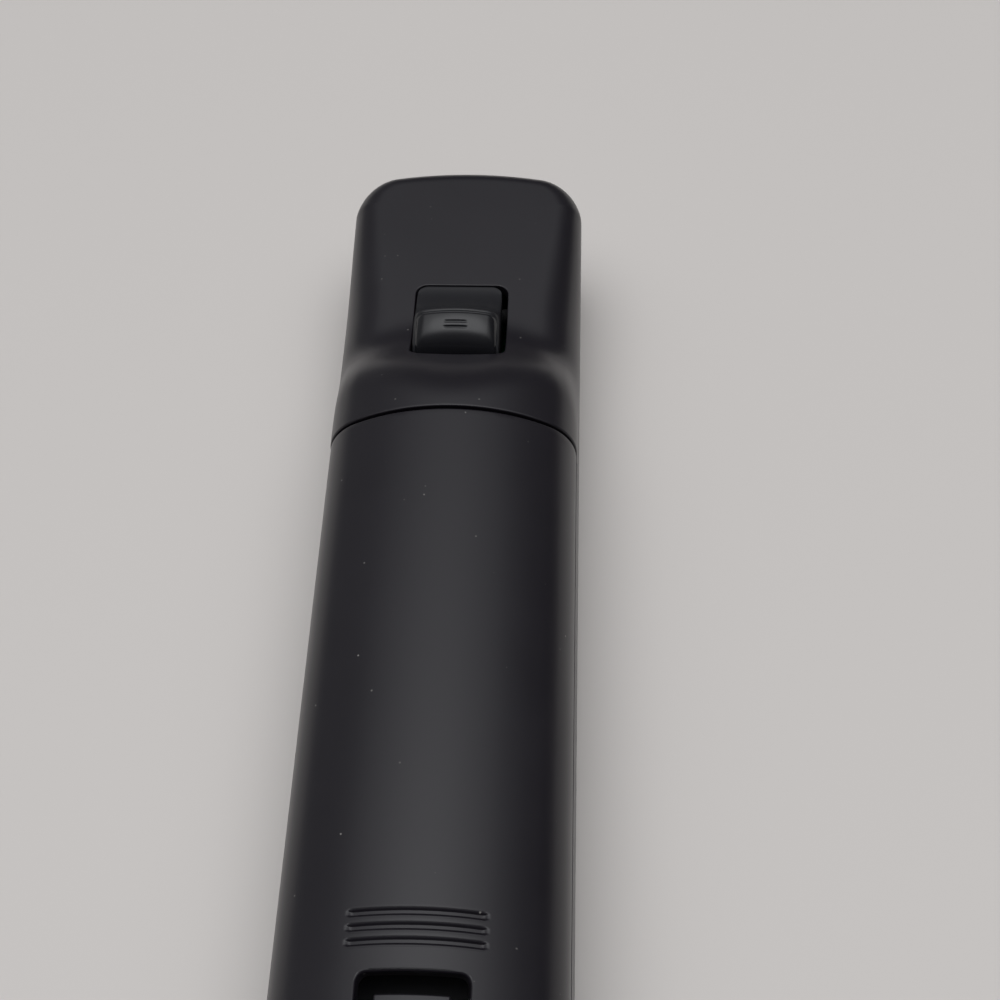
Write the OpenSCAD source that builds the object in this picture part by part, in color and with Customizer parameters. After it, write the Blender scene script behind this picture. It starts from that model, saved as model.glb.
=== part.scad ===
// Hand-held motion controller wand, lying face down: trigger side up, buttons on the table.
// +Y points to the nose with the camera window, +Z points out of the back, the table is z = 0.

/* [Body] */
// Overall length, nose to tail
body_l = 148; // [140:1:160]
// Width across the side walls
body_w = 36.2; // [34:0.2:40]
// Height of the grip's back above the table
back_h = 30.8; // [29.5:0.1:33]
// Height of the nose's back above the table
nose_h = 23; // [22:0.1:24.5]
// Wall of the two case halves
wall = 1.8; // [1.4:0.1:2.2]
// Height of the joint between the two case halves
split_h = 12; // [11.5:0.1:13]
// Height of the rails that the battery cover sits on
rail_h = 18; // [17:0.1:19]
// Width of the ledge left beside the battery cover
cover_ledge = 0.5; // [0.3:0.05:0.8]
// Crown radius across the grip's back
crown_r = 27; // [25:0.5:34]
// Shoulder radius between the crown and the sides
shoulder_r = 8; // [6:0.25:9]
// Radius along the edges of the nose's back
nose_edge_r = 4; // [3.5:0.25:5]
// Radius along the edges of the face
face_edge_r = 2.5; // [2:0.1:3]
// Bow radius of the nose end, seen from above
nose_bow_r = 60; // [45:5:120]
// Corner radius of the nose, seen from above
nose_corner_r = 8; // [6.5:0.25:9]
// Corner radius of the tail, seen from above
tail_corner_r = 2.5; // [1:0.25:3]
// Rounding where the nose's back turns down to its end
nose_lip_r = 2; // [1:0.25:3]
// Distance from the nose to where the back starts to rise
slope_from_nose = 35; // [34:0.25:37]

/* [Battery cover] */
// Distance from the nose to the cover's front seam
seam_from_nose = 56.5; // [56:0.25:59]
// Width of the seam around the cover
seam_gap = 0.55; // [0.35:0.05:0.7]
// Wall of the cover
cover_wall = 1.6; // [1.2:0.1:1.8]
// Lift of the cover's edge off its rails
cover_lift = 0.1; // [0.05:0.05:0.2]
// Width of the latch window
window_w = 13; // [12:0.25:15]
// Length of the latch window, which is open to the cover's back edge
window_l = 9.4; // [8.8:0.1:10]
// Distance from the tail to the latch window
window_from_tail = 0.6; // [0.4:0.1:0.8]
// Corner radius of the latch window
window_r = 1.2; // [0.5:0.1:1.6]
// Length of each thumb groove
groove_l = 16; // [12:0.5:18]
// Width of each thumb groove
groove_w = 0.7; // [0.5:0.05:0.9]
// Depth of each thumb groove
groove_d = 0.35; // [0.2:0.05:0.5]
// Spacing of the thumb grooves
groove_pitch = 1.75; // [1.4:0.05:2]
// Number of thumb grooves
groove_n = 3; // [2:1:4]
// Distance from the tail to the middle thumb groove
groove_from_tail = 15.3; // [14.5:0.1:17]

/* [Trigger] */
// Width of the trigger
trigger_w = 12.4; // [11.5:0.1:13]
// Distance from the nose to the trigger's front edge
trigger_from_nose = 26.6; // [26:0.1:27.5]
// Length of the trigger along the body
trigger_l = 13.2; // [12.6:0.1:13.6]
// Height of the trigger's ridge above the nose's back
trigger_rise = 4.6; // [3.6:0.1:5.2]
// Distance from the trigger's front edge to its ridge
trigger_ridge_at = 8.9; // [8.4:0.1:9.4]
// Rounding of the trigger's ridge ends
trigger_corner_r = 2.6; // [1.6:0.1:3]
// Gap around the trigger in the case
trigger_gap = 0.6; // [0.5:0.05:0.8]
// Radius of the trigger's pivot pins
trigger_pin_r = 1.2; // [1:0.05:1.4]
// Depth of the pivot below the nose's back
trigger_pin_depth = 4; // [3.8:0.1:4.4]

/* [Buttons] */
// How far the cross, the main button and the number buttons stand out of the face
button_proud = 1.5; // [1.2:0.1:1.8]
// How far the small buttons stand out of the face
small_proud = 0.7; // [0.4:0.1:1]
// Gap around a button in the face
button_gap = 0.3; // [0.2:0.05:0.4]
// Thickness of a button's flange
flange_t = 1; // [0.8:0.1:1.1]
// Width of a button's flange beyond its cap
flange_w = 1; // [0.8:0.1:1.2]
// Radius of the main button
main_r = 6.4; // [5.8:0.1:6.8]
// Radius of the menu buttons
menu_r = 3.1; // [2.6:0.1:3.4]
// Radius of the number buttons
number_r = 4.2; // [3.8:0.1:4.6]
// Radius of the power button
power_r = 2.8; // [2.4:0.1:3]
// Span of the cross, arm end to arm end
cross_span = 19; // [17:0.5:20]
// Width of the cross's arms
cross_arm = 6.4; // [5.6:0.2:7]
// Gap around the cross in the face
cross_gap = 0.6; // [0.5:0.05:0.8]
// Distance from the nose to the power button
power_from_nose = 9; // [8.5:0.1:9.5]
// Distance from the body's middle to the power button
power_x = 11; // [10:0.1:11.5]
// Distance from the nose to the cross
cross_from_nose = 25; // [24.5:0.1:26]
// Distance from the nose to the main button
main_from_nose = 47; // [46.5:0.1:48]
// Distance from the nose to the row of menu buttons
menu_from_nose = 70; // [69:0.1:72]
// Spacing of the menu buttons
menu_pitch = 10; // [9.5:0.1:10.6]
// Distance from the nose to the speaker
speaker_from_nose = 92; // [91:0.25:94]
// Radius of the speaker's frame
speaker_r = 10; // [9:0.25:10.5]
// Radius of a speaker hole in the face
speaker_hole_r = 0.6; // [0.5:0.05:0.7]
// Spacing of the speaker holes
speaker_hole_pitch = 2.8; // [2.4:0.1:3.2]
// Distance from the nose to the first number button
number_from_nose = 112; // [111:0.25:113]
// Spacing of the number buttons
number_pitch = 12; // [11.6:0.1:12.4]
// Distance from the tail to the row of player lights
lights_from_tail = 9; // [8.25:0.25:10]
// Spacing of the player lights
lights_pitch = 6; // [5:0.25:7]

/* [Boards and power] */
// Distance from the face's outside to the circuit board
board_depth = 5.5; // [5.4:0.1:5.8]
// Thickness of the circuit board
board_t = 1.2; // [1:0.1:1.3]
// Radius of a battery cell
cell_r = 7.2; // [7:0.05:7.25]
// Length of a battery cell with its terminal
cell_l = 50.5; // [49.2:0.1:50.8]
// Gap between the two cells
cell_gap = 0.5; // [0.3:0.1:0.8]
// Floor thickness of the battery tray
tray_t = 1.5; // [1.2:0.1:1.7]
// Radius of the case screws' shanks
screw_r = 0.9; // [0.8:0.05:1]
// Radius of the case screws' heads
screw_head_r = 2.1; // [1.8:0.1:2.3]

/* [Expansion socket] */
// Width of the socket's mouth
socket_w = 12; // [11:0.25:13]
// Height of the socket's mouth
socket_h = 6.6; // [6.2:0.1:6.8]
// Depth of the socket
socket_d = 14; // [13:0.25:15]
// Wall of the socket's housing
socket_wall = 1.3; // [1.1:0.1:1.4]
// Depth from the mouth to the tip of the contact tongue
tongue_back = 4.8; // [4.6:0.1:5.2]
// Radius of the two strap holes in the tail
strap_hole_r = 1.2; // [1:0.05:1.3]

/* [Hidden] */
$fn = 96;
eps = 0.01;
// Clearance between pieces that are assembled but don't move
slack = 0.15;
// Running clearance of a pin in its hole, on the radius
run = 0.05;

// Heights, from the table up
face_h = button_proud;
face_in = face_h + wall;
board_h = face_h + board_depth;
board_top = board_h + board_t;
flange_h = face_in + 0.1;

// Half widths
half_w = body_w / 2;
cover_half = half_w - cover_ledge;
inner_half = half_w - wall;

// Stations along the body
tip_y = body_l / 2;
tail_y = -body_l / 2;
seam_y = tip_y - seam_from_nose;
slope_y = tip_y - slope_from_nose;
bulkhead_t = 1.5;
cover_front = seam_y - seam_gap;
cover_back = tail_y + wall + seam_gap;

// The rise of the back is two equal arcs that meet at its middle
rise_top = back_h + 0.1;
rise = rise_top - nose_h;
run_l = slope_y - seam_y;
rise_r = (run_l * run_l + rise * rise) / (4 * rise);
rise_angle = 2 * atan(rise / run_l);
rise_mid_y = (slope_y + seam_y) / 2;

// Battery bay, counted back from the cover's seam
bay_wall = 1.2;
contact_room = 2.2;
boss_r = 2.6;
boss_gap = 0.5;
bay_screw_y = seam_y - boss_r - boss_gap;
bay_front = bay_screw_y - boss_r - bay_wall;
cell_front = bay_front - contact_room;
cell_back = cell_front - cell_l;
bay_back = cell_back - contact_room;
tail_screw_y = bay_back - boss_r - bay_wall;
cell_x = cell_r + cell_gap / 2;
cell_rest = 0.35;
tray_room = 3.6;
tray_top = board_top + tray_room;
tray_h = tray_top - tray_t;
cell_h = tray_top + cell_r + cell_rest;
tray_tab_gap = 0.1;
tray_half = inner_half - tray_tab_gap;
tray_back = tail_y + tail_corner_r + slack;
tray_side_t = 0.8;
tray_side_top = rail_h - 3;
tray_tab_l = 6;
tray_tab_h = 1.2;
tray_tab_w = 0.8;
tray_tab_in = 8;
tray_tab_ys = [cell_front - tray_tab_in, cell_back + tray_tab_in];
screw_x = tray_half - tray_side_t - screw_head_r - 0.3;
screw_ys = [bay_screw_y, tail_screw_y];
// Half width of what stands up inside the cover
bay_half = cover_half - cover_wall - 0.4;
// Lips under the cover's edges that hold it between the rails
cover_lip_l = 4.2;
cover_lip_t = 1;
cover_lip_drop = 2.4;
cover_lip_ys = [bay_front + bay_wall + 0.4, bay_back - bay_wall - 0.4 - cover_lip_l];

// Trigger
trigger_front = tip_y - trigger_from_nose;
trigger_back = trigger_front - trigger_l;
trigger_pivot_in = 2.4;
trigger_pivot_y = trigger_front - trigger_pivot_in;
trigger_pivot_h = nose_h - trigger_pin_depth;
trigger_ridge_y = trigger_front - trigger_ridge_at;
trigger_bottom = trigger_pivot_h - 1.7;
trigger_ear = 1.6;
trigger_ear_gap = 0.2;
trigger_front_gap = 0.35;
trigger_tail_gap = 0.2;
trigger_hole_r = 1.4;
trigger_hub_r = 2.6;
trigger_post_r = 1.2;
trigger_post_y = trigger_back + 1.9;
trigger_spring_r = 2.1;
trigger_spring_wire = 0.25;
trigger_spring_turns = 6;
trigger_pocket_gap = 0.35;
trigger_pocket_r = trigger_spring_r + trigger_spring_wire + trigger_pocket_gap;
trigger_pocket_d = 1;
trigger_pocket_wall = 0.6;
trigger_spring_y = trigger_pivot_y - trigger_pin_r - trigger_pocket_r - trigger_pocket_wall;
trigger_swing = 8;
trigger_post_drop = (trigger_pivot_y - trigger_post_y) * sin(trigger_swing);
trigger_post_end = trigger_bottom - 1.6;
trigger_switch_top = trigger_post_end - trigger_post_drop - slack;
switch_half_w = 3;
switch_half_l = 1.4;
switch_button_h = 1;
// Top of the lip that stops the trigger under the case's back
trigger_stop = nose_h - wall + 0.5;

// Expansion socket on the board, under a hump of the tray
socket_bottom = board_top;
socket_mid = socket_bottom + socket_wall + socket_h / 2;
socket_out_w = socket_w + 2 * socket_wall;
socket_out_h = socket_h + 2 * socket_wall;
socket_back_l = 4;
socket_front = tail_y + socket_d + socket_back_l;
tongue_t = 1.5;
tongue_w = socket_w - 2.4;
contact_pitch = 3;
contact_w = 1.2;
contact_t = 0.2;
hump_t = 1.4;
hump_gap = 0.4;
hump_room = 0.8;
hump_half = socket_out_w / 2 + hump_gap + hump_t;
hump_front = socket_front + hump_gap + hump_t;
deck_top = socket_bottom + socket_out_h + hump_room + hump_t;

// Two strap holes in the tail
strap_h = back_h - 7.8;
strap_x = 12;
strap_pitch = 3.6;

// Sync button in the tray's floor, beside the hump
sync_r = 2;
sync_flange = 0.8;
sync_travel = 0.5;
sync_proud = 0.8;
sync_x = hump_half + sync_r + 0.3;
sync_y = tail_screw_y - boss_r - sync_r - sync_flange - boss_gap;
sync_bottom = tray_h - sync_flange;
sync_switch_top = sync_bottom - sync_travel - 0.1;

// Latch
latch_w = 8.6;
latch_gap = 2.5;
latch_front = tail_y + window_from_tail + window_l - latch_gap;
latch_tail_gap = 0.35;
latch_back = tail_y + wall + latch_tail_gap;
latch_pin_r = 1;
latch_pin_in = 1.8;
latch_pin_y = latch_back + latch_pin_in;
latch_pin_h = deck_top + 3.6;
latch_ear = 1.2;
latch_ear_r = 1.9;
latch_side_gap = 0.4;
latch_tab_t = 1.1;
latch_under = back_h - cover_wall - latch_tab_t;
latch_stem_t = 1.6;
latch_hub_r = 1.3;
latch_spring_r = 1;
latch_spring_wire = 0.18;
latch_spring_turns = 6;
latch_spring_y = latch_front - latch_spring_r - latch_spring_wire;

// Cross
cross_y = tip_y - cross_from_nose;
cross_flange_r = cross_span / 2 + 1.7;
cross_ball_r = 0.65;
cross_ball_h = board_h - cross_ball_r - 0.05;
cross_flange_back = cross_ball_h - cross_ball_r - 0.05;
cross_dome_r = 2.4;
cross_dome_at = cross_flange_r - cross_dome_r - 1.4;

// Silicone domes
dome_top = flange_h + flange_t;
dome_t = 0.7;
dome_foot = 0.5;

// Speaker and lights
speaker_y = tip_y - speaker_from_nose;
speaker_h = 5;
speaker_rim = 1;
speaker_step = 1.6;
speaker_pit = 2.1;
speaker_seat = 3.2;
cone_r = 6.6;
cone_lip = 1.25;
cone_dip = 0.55;
lights_y = tail_y + lights_from_tail;
light_half_w = 1.6;
light_half_l = 0.8;

// Nose end
window_half_h = 4.6;
window_corner_r = 2.5;
lens_w = 22;
camera_front = tip_y - wall - 2;
camera_half = 5;
camera_l = 5.5;
camera_rise = 4;
lens_r = 3.2;
lens_l = 2.5;

// Circuit board and what sits on it
board_front = tip_y - 4.5;
board_back = tail_y + 7;
board_edge = 0.7;
board_half = inner_half - board_edge;
board_post_r = 1.4;
board_post_x = board_half - board_post_r - 0.2;
board_post_front = 38;
board_post_back = 84;
board_posts = [for (x = [-1, 1], s = [board_post_front, board_post_back]) [x * board_post_x, tip_y - s]];
board_screw_r = 0.6;
board_screw_l = 3.2;
board_screw_head_r = 1.3;
board_screw_head_t = 0.8;
case_screw_l = 5.5;
case_screw_head_t = 1.3;
shield_half = 8.5;
shield_h = 1.3;
shield_t = 0.4;
shield_front = bay_screw_y - boss_r - 1.8;
shield_back = speaker_y + speaker_r + 1.5;
chip_h = 1;

// Rumble motor
motor_from_nose = 49;
motor_y = tip_y - motor_from_nose;
motor_r = 4.2;
motor_foot = 1.6;
motor_h = board_top + motor_r + motor_foot;
motor_l = 12;
motor_x0 = -12.5;
motor_x1 = motor_x0 + motor_l;
boot_wall = 1.2;
boot_in = 1.5;
boot_l = 8;
shaft_r = 0.6;
shaft_in = 3.5;
weight_gap = 1;
weight_x = motor_x1 + weight_gap;
weight_l = 4.5;
weight_r = 3.6;
weight_cut = 1;

// Each round button: x, y, cap radius, how far it stands out, whether its top is crowned
power_button_at = [power_x, tip_y - power_from_nose, power_r, small_proud];
main_button_at = [0, tip_y - main_from_nose, main_r, button_proud];
menu_y = tip_y - menu_from_nose;
minus_button_at = [menu_pitch, menu_y, menu_r, small_proud];
home_button_at = [0, menu_y, menu_r, small_proud];
plus_button_at = [-menu_pitch, menu_y, menu_r, small_proud];
one_button_at = [0, tip_y - number_from_nose, number_r, button_proud];
two_button_at = [0, tip_y - number_from_nose - number_pitch, number_r, button_proud];
round_buttons = [
    power_button_at, main_button_at, minus_button_at, home_button_at,
    plus_button_at, one_button_at, two_button_at
];

// Solids swept along one axis
module along_y(y0, y1) {
    translate([0, y1, 0]) rotate([90, 0, 0]) linear_extrude(y1 - y0) children();
}
module along_x(x0, x1) {
    translate([x0, 0, 0]) rotate([90, 0, 90]) linear_extrude(x1 - x0) children();
}
module block(x0, x1, y0, y1, z0, z1) {
    translate([x0, y0, z0]) cube([x1 - x0, y1 - y0, z1 - z0]);
}
module rect(x0, x1, y0, y1) {
    translate([x0, y0]) square([x1 - x0, y1 - y0]);
}
module post(x, y, z0, z1, r) {
    translate([x, y, z0]) cylinder(h = z1 - z0, r = r);
}
module bar_x(x0, x1, y, z, r) {
    translate([x0, y, z]) rotate([0, 90, 0]) cylinder(h = x1 - x0, r = r);
}
module rounded_rect(x0, x1, y0, y1, r) {
    rect(x0 + r, x1 - r, y0, y1);
    rect(x0, x1, y0 + r, y1 - r);
    for (x = [x0 + r, x1 - r], y = [y0 + r, y1 - r]) translate([x, y]) circle(r);
}

// Outline with straight sides, a crown arc on top and shoulder arcs between them
module crowned(half, top, big_r, small_r, bottom, inset = 0) {
    reach = half - small_r;
    big_c = top - big_r;
    small_c = big_c + sqrt(pow(big_r - small_r, 2) - reach * reach);
    share = (big_r - inset) / (big_r - small_r);
    meet_x = reach * share;
    low = small_c - small_r / 2;
    intersection() {
        union() {
            intersection() {
                translate([0, big_c]) circle(big_r - inset, $fn = 360);
                rect(-meet_x, meet_x, low, top + 1 - inset);
            }
            for (side = [-1, 1]) translate([side * reach, small_c]) circle(small_r - inset);
            rect(inset - half, half - inset, small_c - 2 * small_r, small_c);
        }
        rect(-half - 2, half + 2, bottom, top + 2 - inset);
    }
}

// Outline of the grip across the body
module arch(inset = 0, bottom = 0) {
    crowned(cover_half, back_h, crown_r, shoulder_r, bottom, inset);
}

// Outline of the nose across the body
module nose_section(inset = 0) {
    w = half_w - inset;
    r0 = max(face_edge_r - inset, 0.3);
    r1 = nose_edge_r - inset;
    rect(-w, w, face_h + inset + r0, nose_h - inset - r1);
    rect(r0 - w, w - r0, face_h + inset, face_h + inset + r0 + eps);
    rect(r1 - w, w - r1, nose_h - inset - r1 - eps, nose_h - inset);
    for (side = [-1, 1]) {
        translate([side * (w - r0), face_h + inset + r0]) circle(r0);
        translate([side * (w - r1), nose_h - inset - r1]) circle(r1);
    }
}

// Outline of the body seen from above
module plan(inset = 0) {
    w = half_w - inset;
    r = max(tail_corner_r - inset, 0.3);
    crowned(half_w, tip_y, nose_bow_r, nose_corner_r, tip_y - 2 * nose_corner_r, inset);
    rect(-w, w, tail_y + inset + r, tip_y - 1.6 * nose_corner_r);
    rect(r - w, w - r, tail_y + inset, tail_y + inset + r + eps);
    for (side = [-1, 1]) translate([side * (w - r), tail_y + inset + r]) circle(r);
}

// Outline of the body seen from the side, from height z0 up to the back
module side_profile(inset = 0, z0 = 0) {
    top = nose_h - inset;
    lip = max(nose_lip_r - inset, 0.3);
    end = tip_y - inset + 0.3;
    valley_y = rise_mid_y - inset * sin(rise_angle);
    rect(slope_y - eps, end - lip, z0, top);
    rect(slope_y, end, z0, top - lip);
    translate([end - lip, top - lip]) circle(lip);
    difference() {
        rect(valley_y, slope_y, z0, (nose_h + rise_top) / 2);
        translate([slope_y, nose_h + rise_r]) circle(rise_r + inset, $fn = 360);
    }
    intersection() {
        rect(seam_y, slope_y, z0, rise_top);
        translate([seam_y, rise_top - rise_r]) circle(rise_r - inset, $fn = 360);
    }
    rect(tail_y - 1, seam_y + eps, z0, rise_top - inset);
}

// The whole body as a plain solid, shrunk by inset
module body_solid(inset = 0, z0 = 0, z1 = back_h + 1) {
    intersection() {
        translate([0, 0, z0]) linear_extrude(z1 - z0) plan(inset);
        along_x(-half_w - 1, half_w + 1) side_profile(inset, z0 - 1);
        union() {
            along_y(seam_y - eps, tip_y + 1) nose_section(inset);
            along_y(tail_y - 1, slope_y) arch(inset, face_h);
            along_y(tail_y - 1, slope_y) rect(inset - half_w, half_w - inset, face_h, rail_h);
        }
    }
}

// Front half of the case
module button_holes() {
    for (b = round_buttons) post(b[0], b[1], 0, face_in + eps, b[2] + button_gap);
    translate([0, cross_y, 0]) linear_extrude(face_in + eps) cross_outline(cross_gap);
    for (i = [-3:3], j = [-1:1]) {
        post(j * speaker_hole_pitch, speaker_y + i * speaker_hole_pitch, 0, face_in + eps, speaker_hole_r);
    }
    for (i = [-1.5:1.5]) light_slot(i * lights_pitch, 0, face_in + eps, 0);
}
module cross_outline(grow = 0) {
    long = cross_span / 2 + grow;
    short = cross_arm / 2 + grow;
    rounded_rect(-long, long, -short, short, 1);
    rounded_rect(-short, short, -long, long, 1);
}
module light_slot(x, z0, z1, shrink) {
    translate([x, lights_y, z0]) linear_extrude(z1 - z0) {
        rounded_rect(shrink - light_half_w, light_half_w - shrink, shrink - light_half_l,
            light_half_l - shrink, 0.5);
    }
}
module front_case() color("#2b2b2e") difference() {
    union() {
        difference() {
            intersection() {
                translate([0, 0, face_h]) linear_extrude(split_h - face_h) plan();
                along_y(tail_y - 1, tip_y + 1) nose_section();
            }
            intersection() {
                translate([0, 0, face_h]) linear_extrude(split_h) plan(wall);
                along_y(tail_y - 1, tip_y + 1) nose_section(wall);
            }
        }
        for (p = board_posts) post(p[0], p[1], face_in - eps, board_h, board_post_r);
        for (x = [-screw_x, screw_x], y = screw_ys) post(x, y, face_in - eps, tray_h, boss_r);
    }
    button_holes();
    for (x = [-screw_x, screw_x], y = screw_ys) post(x, y, face_in, tray_h + 1, screw_r + run);
    for (p = board_posts) post(p[0], p[1], face_in + 1, board_h + 1, board_screw_r + run);
    socket_hole();
    window_hole();
}
module socket_hole() {
    block(-socket_out_w / 2 - slack, socket_out_w / 2 + slack, tail_y - 1, tail_y + wall + 1,
        socket_bottom - slack, socket_bottom + socket_out_h + slack);
}
module window_hole() {
    along_y(tip_y - wall - 4, tip_y + 1) {
        rounded_rect(-lens_w / 2, lens_w / 2, split_h - window_half_h, split_h + window_half_h,
            window_corner_r);
    }
}

// Rear half of the case
trigger_hole_half = trigger_w / 2 + trigger_gap;
module trigger_hole() {
    front = trigger_front + trigger_front_gap;
    back = trigger_back - trigger_gap - trigger_tail_gap;
    translate([0, 0, split_h]) linear_extrude(back_h) {
        rounded_rect(-trigger_hole_half, trigger_hole_half, back, front, trigger_hole_r);
    }
}
module trigger_ears() {
    inner = nose_h - wall;
    for (side = [-1, 1]) {
        x = side * (trigger_hole_half + trigger_ear_gap + trigger_ear / 2);
        block(x - trigger_ear / 2, x + trigger_ear / 2, trigger_pivot_y - trigger_hub_r,
            trigger_pivot_y + trigger_hub_r, trigger_pivot_h, inner + eps);
        bar_x(x - trigger_ear / 2, x + trigger_ear / 2, trigger_pivot_y, trigger_pivot_h, trigger_hub_r);
    }
}
module strap_holes() {
    for (side = [-1, 1]) {
        translate([strap_x + side * strap_pitch / 2, tail_y - 1, strap_h]) rotate([-90, 0, 0]) {
            cylinder(h = wall + 2, r = strap_hole_r);
        }
    }
}
module rear_case() color("#2b2b2e") difference() {
    union() {
        difference() {
            intersection() {
                body_solid(0, split_h);
                block(-half_w, half_w, seam_y, tip_y, split_h, back_h + 1);
            }
            intersection() {
                body_solid(wall, split_h - 1);
                block(-half_w, half_w, seam_y + bulkhead_t, tip_y, 0, back_h);
            }
        }
        trigger_ears();
    }
    trigger_hole();
    bar_x(-half_w / 2, half_w / 2, trigger_pivot_y, trigger_pivot_h, trigger_pin_r + run);
    window_hole();
}

// Rails beside the battery bay, and the plate across the tail
module tail_frame() color("#2b2b2e") difference() {
    intersection() {
        body_solid(0, split_h);
        block(-half_w, half_w, tail_y, seam_y, split_h, back_h + 1);
    }
    intersection() {
        body_solid(wall, split_h - 1);
        block(-half_w, half_w, tail_y, tip_y, 0, back_h);
    }
    block(-half_w, half_w, tail_y + wall, tip_y, rail_h, back_h + 1);
    tray_tabs(tray_tab_gap);
    socket_hole();
    strap_holes();
}

// Battery cover
module battery_cover() color("#2f2f32") difference() {
    union() {
        along_y(cover_back, cover_front) difference() {
            arch(0, rail_h + cover_lift);
            arch(cover_wall, rail_h - 1);
        }
        for (side = [-1, 1], y = cover_lip_ys) {
            x = side * (cover_half - cover_wall - cover_lip_t / 2 + eps);
            block(x - cover_lip_t / 2, x + cover_lip_t / 2, y, y + cover_lip_l,
                rail_h - cover_lip_drop, rail_h + cover_lip_drop);
        }
    }
    translate([0, 0, rail_h]) linear_extrude(back_h) {
        rounded_rect(-window_w / 2, window_w / 2, tail_y + window_from_tail,
            tail_y + window_from_tail + window_l, window_r);
    }
    for (i = [0:groove_n - 1]) {
        y = tail_y + groove_from_tail + (i - (groove_n - 1) / 2) * groove_pitch;
        intersection() {
            along_y(y - groove_w / 2, y + groove_w / 2) difference() {
                arch(-1, rail_h);
                arch(groove_d, rail_h - 1);
            }
            block(-groove_l / 2, groove_l / 2, tail_y, tip_y, rail_h, back_h + 2);
        }
    }
}

// Battery tray with its end walls, its side walls and the hump over the expansion socket
module battery_tray() color("#262629") difference() {
    union() {
        block(-tray_half, tray_half, tray_back, seam_y, tray_h, tray_top);
        for (y = [bay_front, bay_back - bay_wall]) {
            block(-bay_half, bay_half, y, y + bay_wall, tray_h, cell_h);
        }
        for (side = [-1, 1]) {
            x = side * (tray_half - tray_side_t / 2);
            block(x - tray_side_t / 2, x + tray_side_t / 2, tray_back, seam_y, tray_h, tray_side_top);
        }
        intersection() {
            tray_tabs(0);
            union() for (side = [-1, 1]) {
                x = side * (tray_half + tray_tab_w / 2);
                block(x - tray_tab_w, x + tray_tab_w, bay_back, bay_front, tray_h, rail_h);
            }
        }
        block(-cell_gap * 0.4, cell_gap * 0.4, cell_back, cell_front, tray_h, tray_top + 2 * tray_t);
        block(-hump_half, hump_half, tail_y + wall + slack, hump_front, tray_h, deck_top);
        latch_ears();
    }
    block(hump_t - hump_half, hump_half - hump_t, tail_y, hump_front - hump_t,
        tray_h - 1, deck_top - hump_t);
    for (x = [-screw_x, screw_x], y = screw_ys) post(x, y, tray_h - 1, tray_top + 1, screw_r + 0.2);
    post(sync_x, sync_y, tray_h - 1, tray_top + 1, sync_r + slack);
    bar_x(-half_w / 2, half_w / 2, latch_pin_y, latch_pin_h, latch_pin_r + run);
}
// Tabs on the tray's sides that snap into the rear case's rails
module tray_tabs(grow) {
    reach = tray_half + tray_tab_w + grow;
    for (y = tray_tab_ys) {
        block(-reach, reach, y - tray_tab_l / 2 - grow, y + tray_tab_l / 2 + grow,
            tray_side_top - tray_tab_h - grow, tray_side_top + grow);
    }
}
module latch_ears() {
    for (side = [-1, 1]) {
        x = side * (latch_w / 2 + latch_side_gap + latch_ear / 2);
        block(x - latch_ear / 2, x + latch_ear / 2, latch_pin_y - latch_ear_r, latch_pin_y + latch_ear_r,
            deck_top - eps, latch_pin_h);
        bar_x(x - latch_ear / 2, x + latch_ear / 2, latch_pin_y, latch_pin_h, latch_ear_r);
    }
}

// Camera window in the nose
module camera_window() color("#141018") intersection() {
    along_y(tip_y - wall - 3, tip_y + 1) {
        rounded_rect(slack - lens_w / 2, lens_w / 2 - slack, split_h - window_half_h + slack,
            split_h + window_half_h - slack, window_corner_r - slack);
    }
    difference() {
        linear_extrude(back_h) plan();
        linear_extrude(back_h) plan(wall);
    }
}

// Trigger
module trigger_profile() {
    ridge_h = nose_h + trigger_rise;
    ridge_r = 0.9;
    run_up = trigger_ridge_at - ridge_r;
    scoop_r = (run_up * run_up + trigger_rise * trigger_rise) / (2 * trigger_rise);
    face_l = trigger_ridge_y - ridge_r - trigger_back;
    face_r = (face_l * face_l + trigger_rise * trigger_rise) / (2 * face_l);
    difference() {
        rect(trigger_ridge_y, trigger_front, trigger_bottom, ridge_h);
        translate([trigger_front, nose_h - 0.1 + scoop_r]) circle(scoop_r, $fn = 240);
    }
    rect(trigger_ridge_y - ridge_r, trigger_ridge_y + ridge_r, trigger_bottom, ridge_h);
    intersection() {
        rect(trigger_back, trigger_ridge_y - ridge_r + eps, nose_h, ridge_h);
        translate([trigger_back + face_r, nose_h]) circle(face_r, $fn = 240);
    }
    rect(trigger_back, trigger_ridge_y, trigger_bottom, nose_h + eps);
    rect(trigger_back - 1.5, trigger_back + 1, trigger_stop - 1.4, trigger_stop);
}
module trigger() color("#1f1f21") difference() {
    union() {
        intersection() {
            along_x(-trigger_w / 2, trigger_w / 2) trigger_profile();
            along_y(trigger_back - 2, trigger_front) {
                rect(-trigger_w / 2, trigger_w / 2, trigger_bottom,
                    nose_h + trigger_rise - trigger_corner_r);
                rect(trigger_corner_r - trigger_w / 2, trigger_w / 2 - trigger_corner_r,
                    nose_h, nose_h + trigger_rise);
                for (side = [-1, 1]) {
                    translate([side * (trigger_w / 2 - trigger_corner_r),
                        nose_h + trigger_rise - trigger_corner_r]) circle(trigger_corner_r);
                }
            }
        }
        pin_end = trigger_hole_half + 0.2 + trigger_ear;
        bar_x(-pin_end, pin_end, trigger_pivot_y, trigger_pivot_h, trigger_pin_r);
        post(0, trigger_post_y, trigger_post_end, trigger_bottom + 2, trigger_post_r);
    }
    post(0, trigger_spring_y, trigger_bottom - 1, trigger_bottom + trigger_pocket_d, trigger_pocket_r);
}

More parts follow.
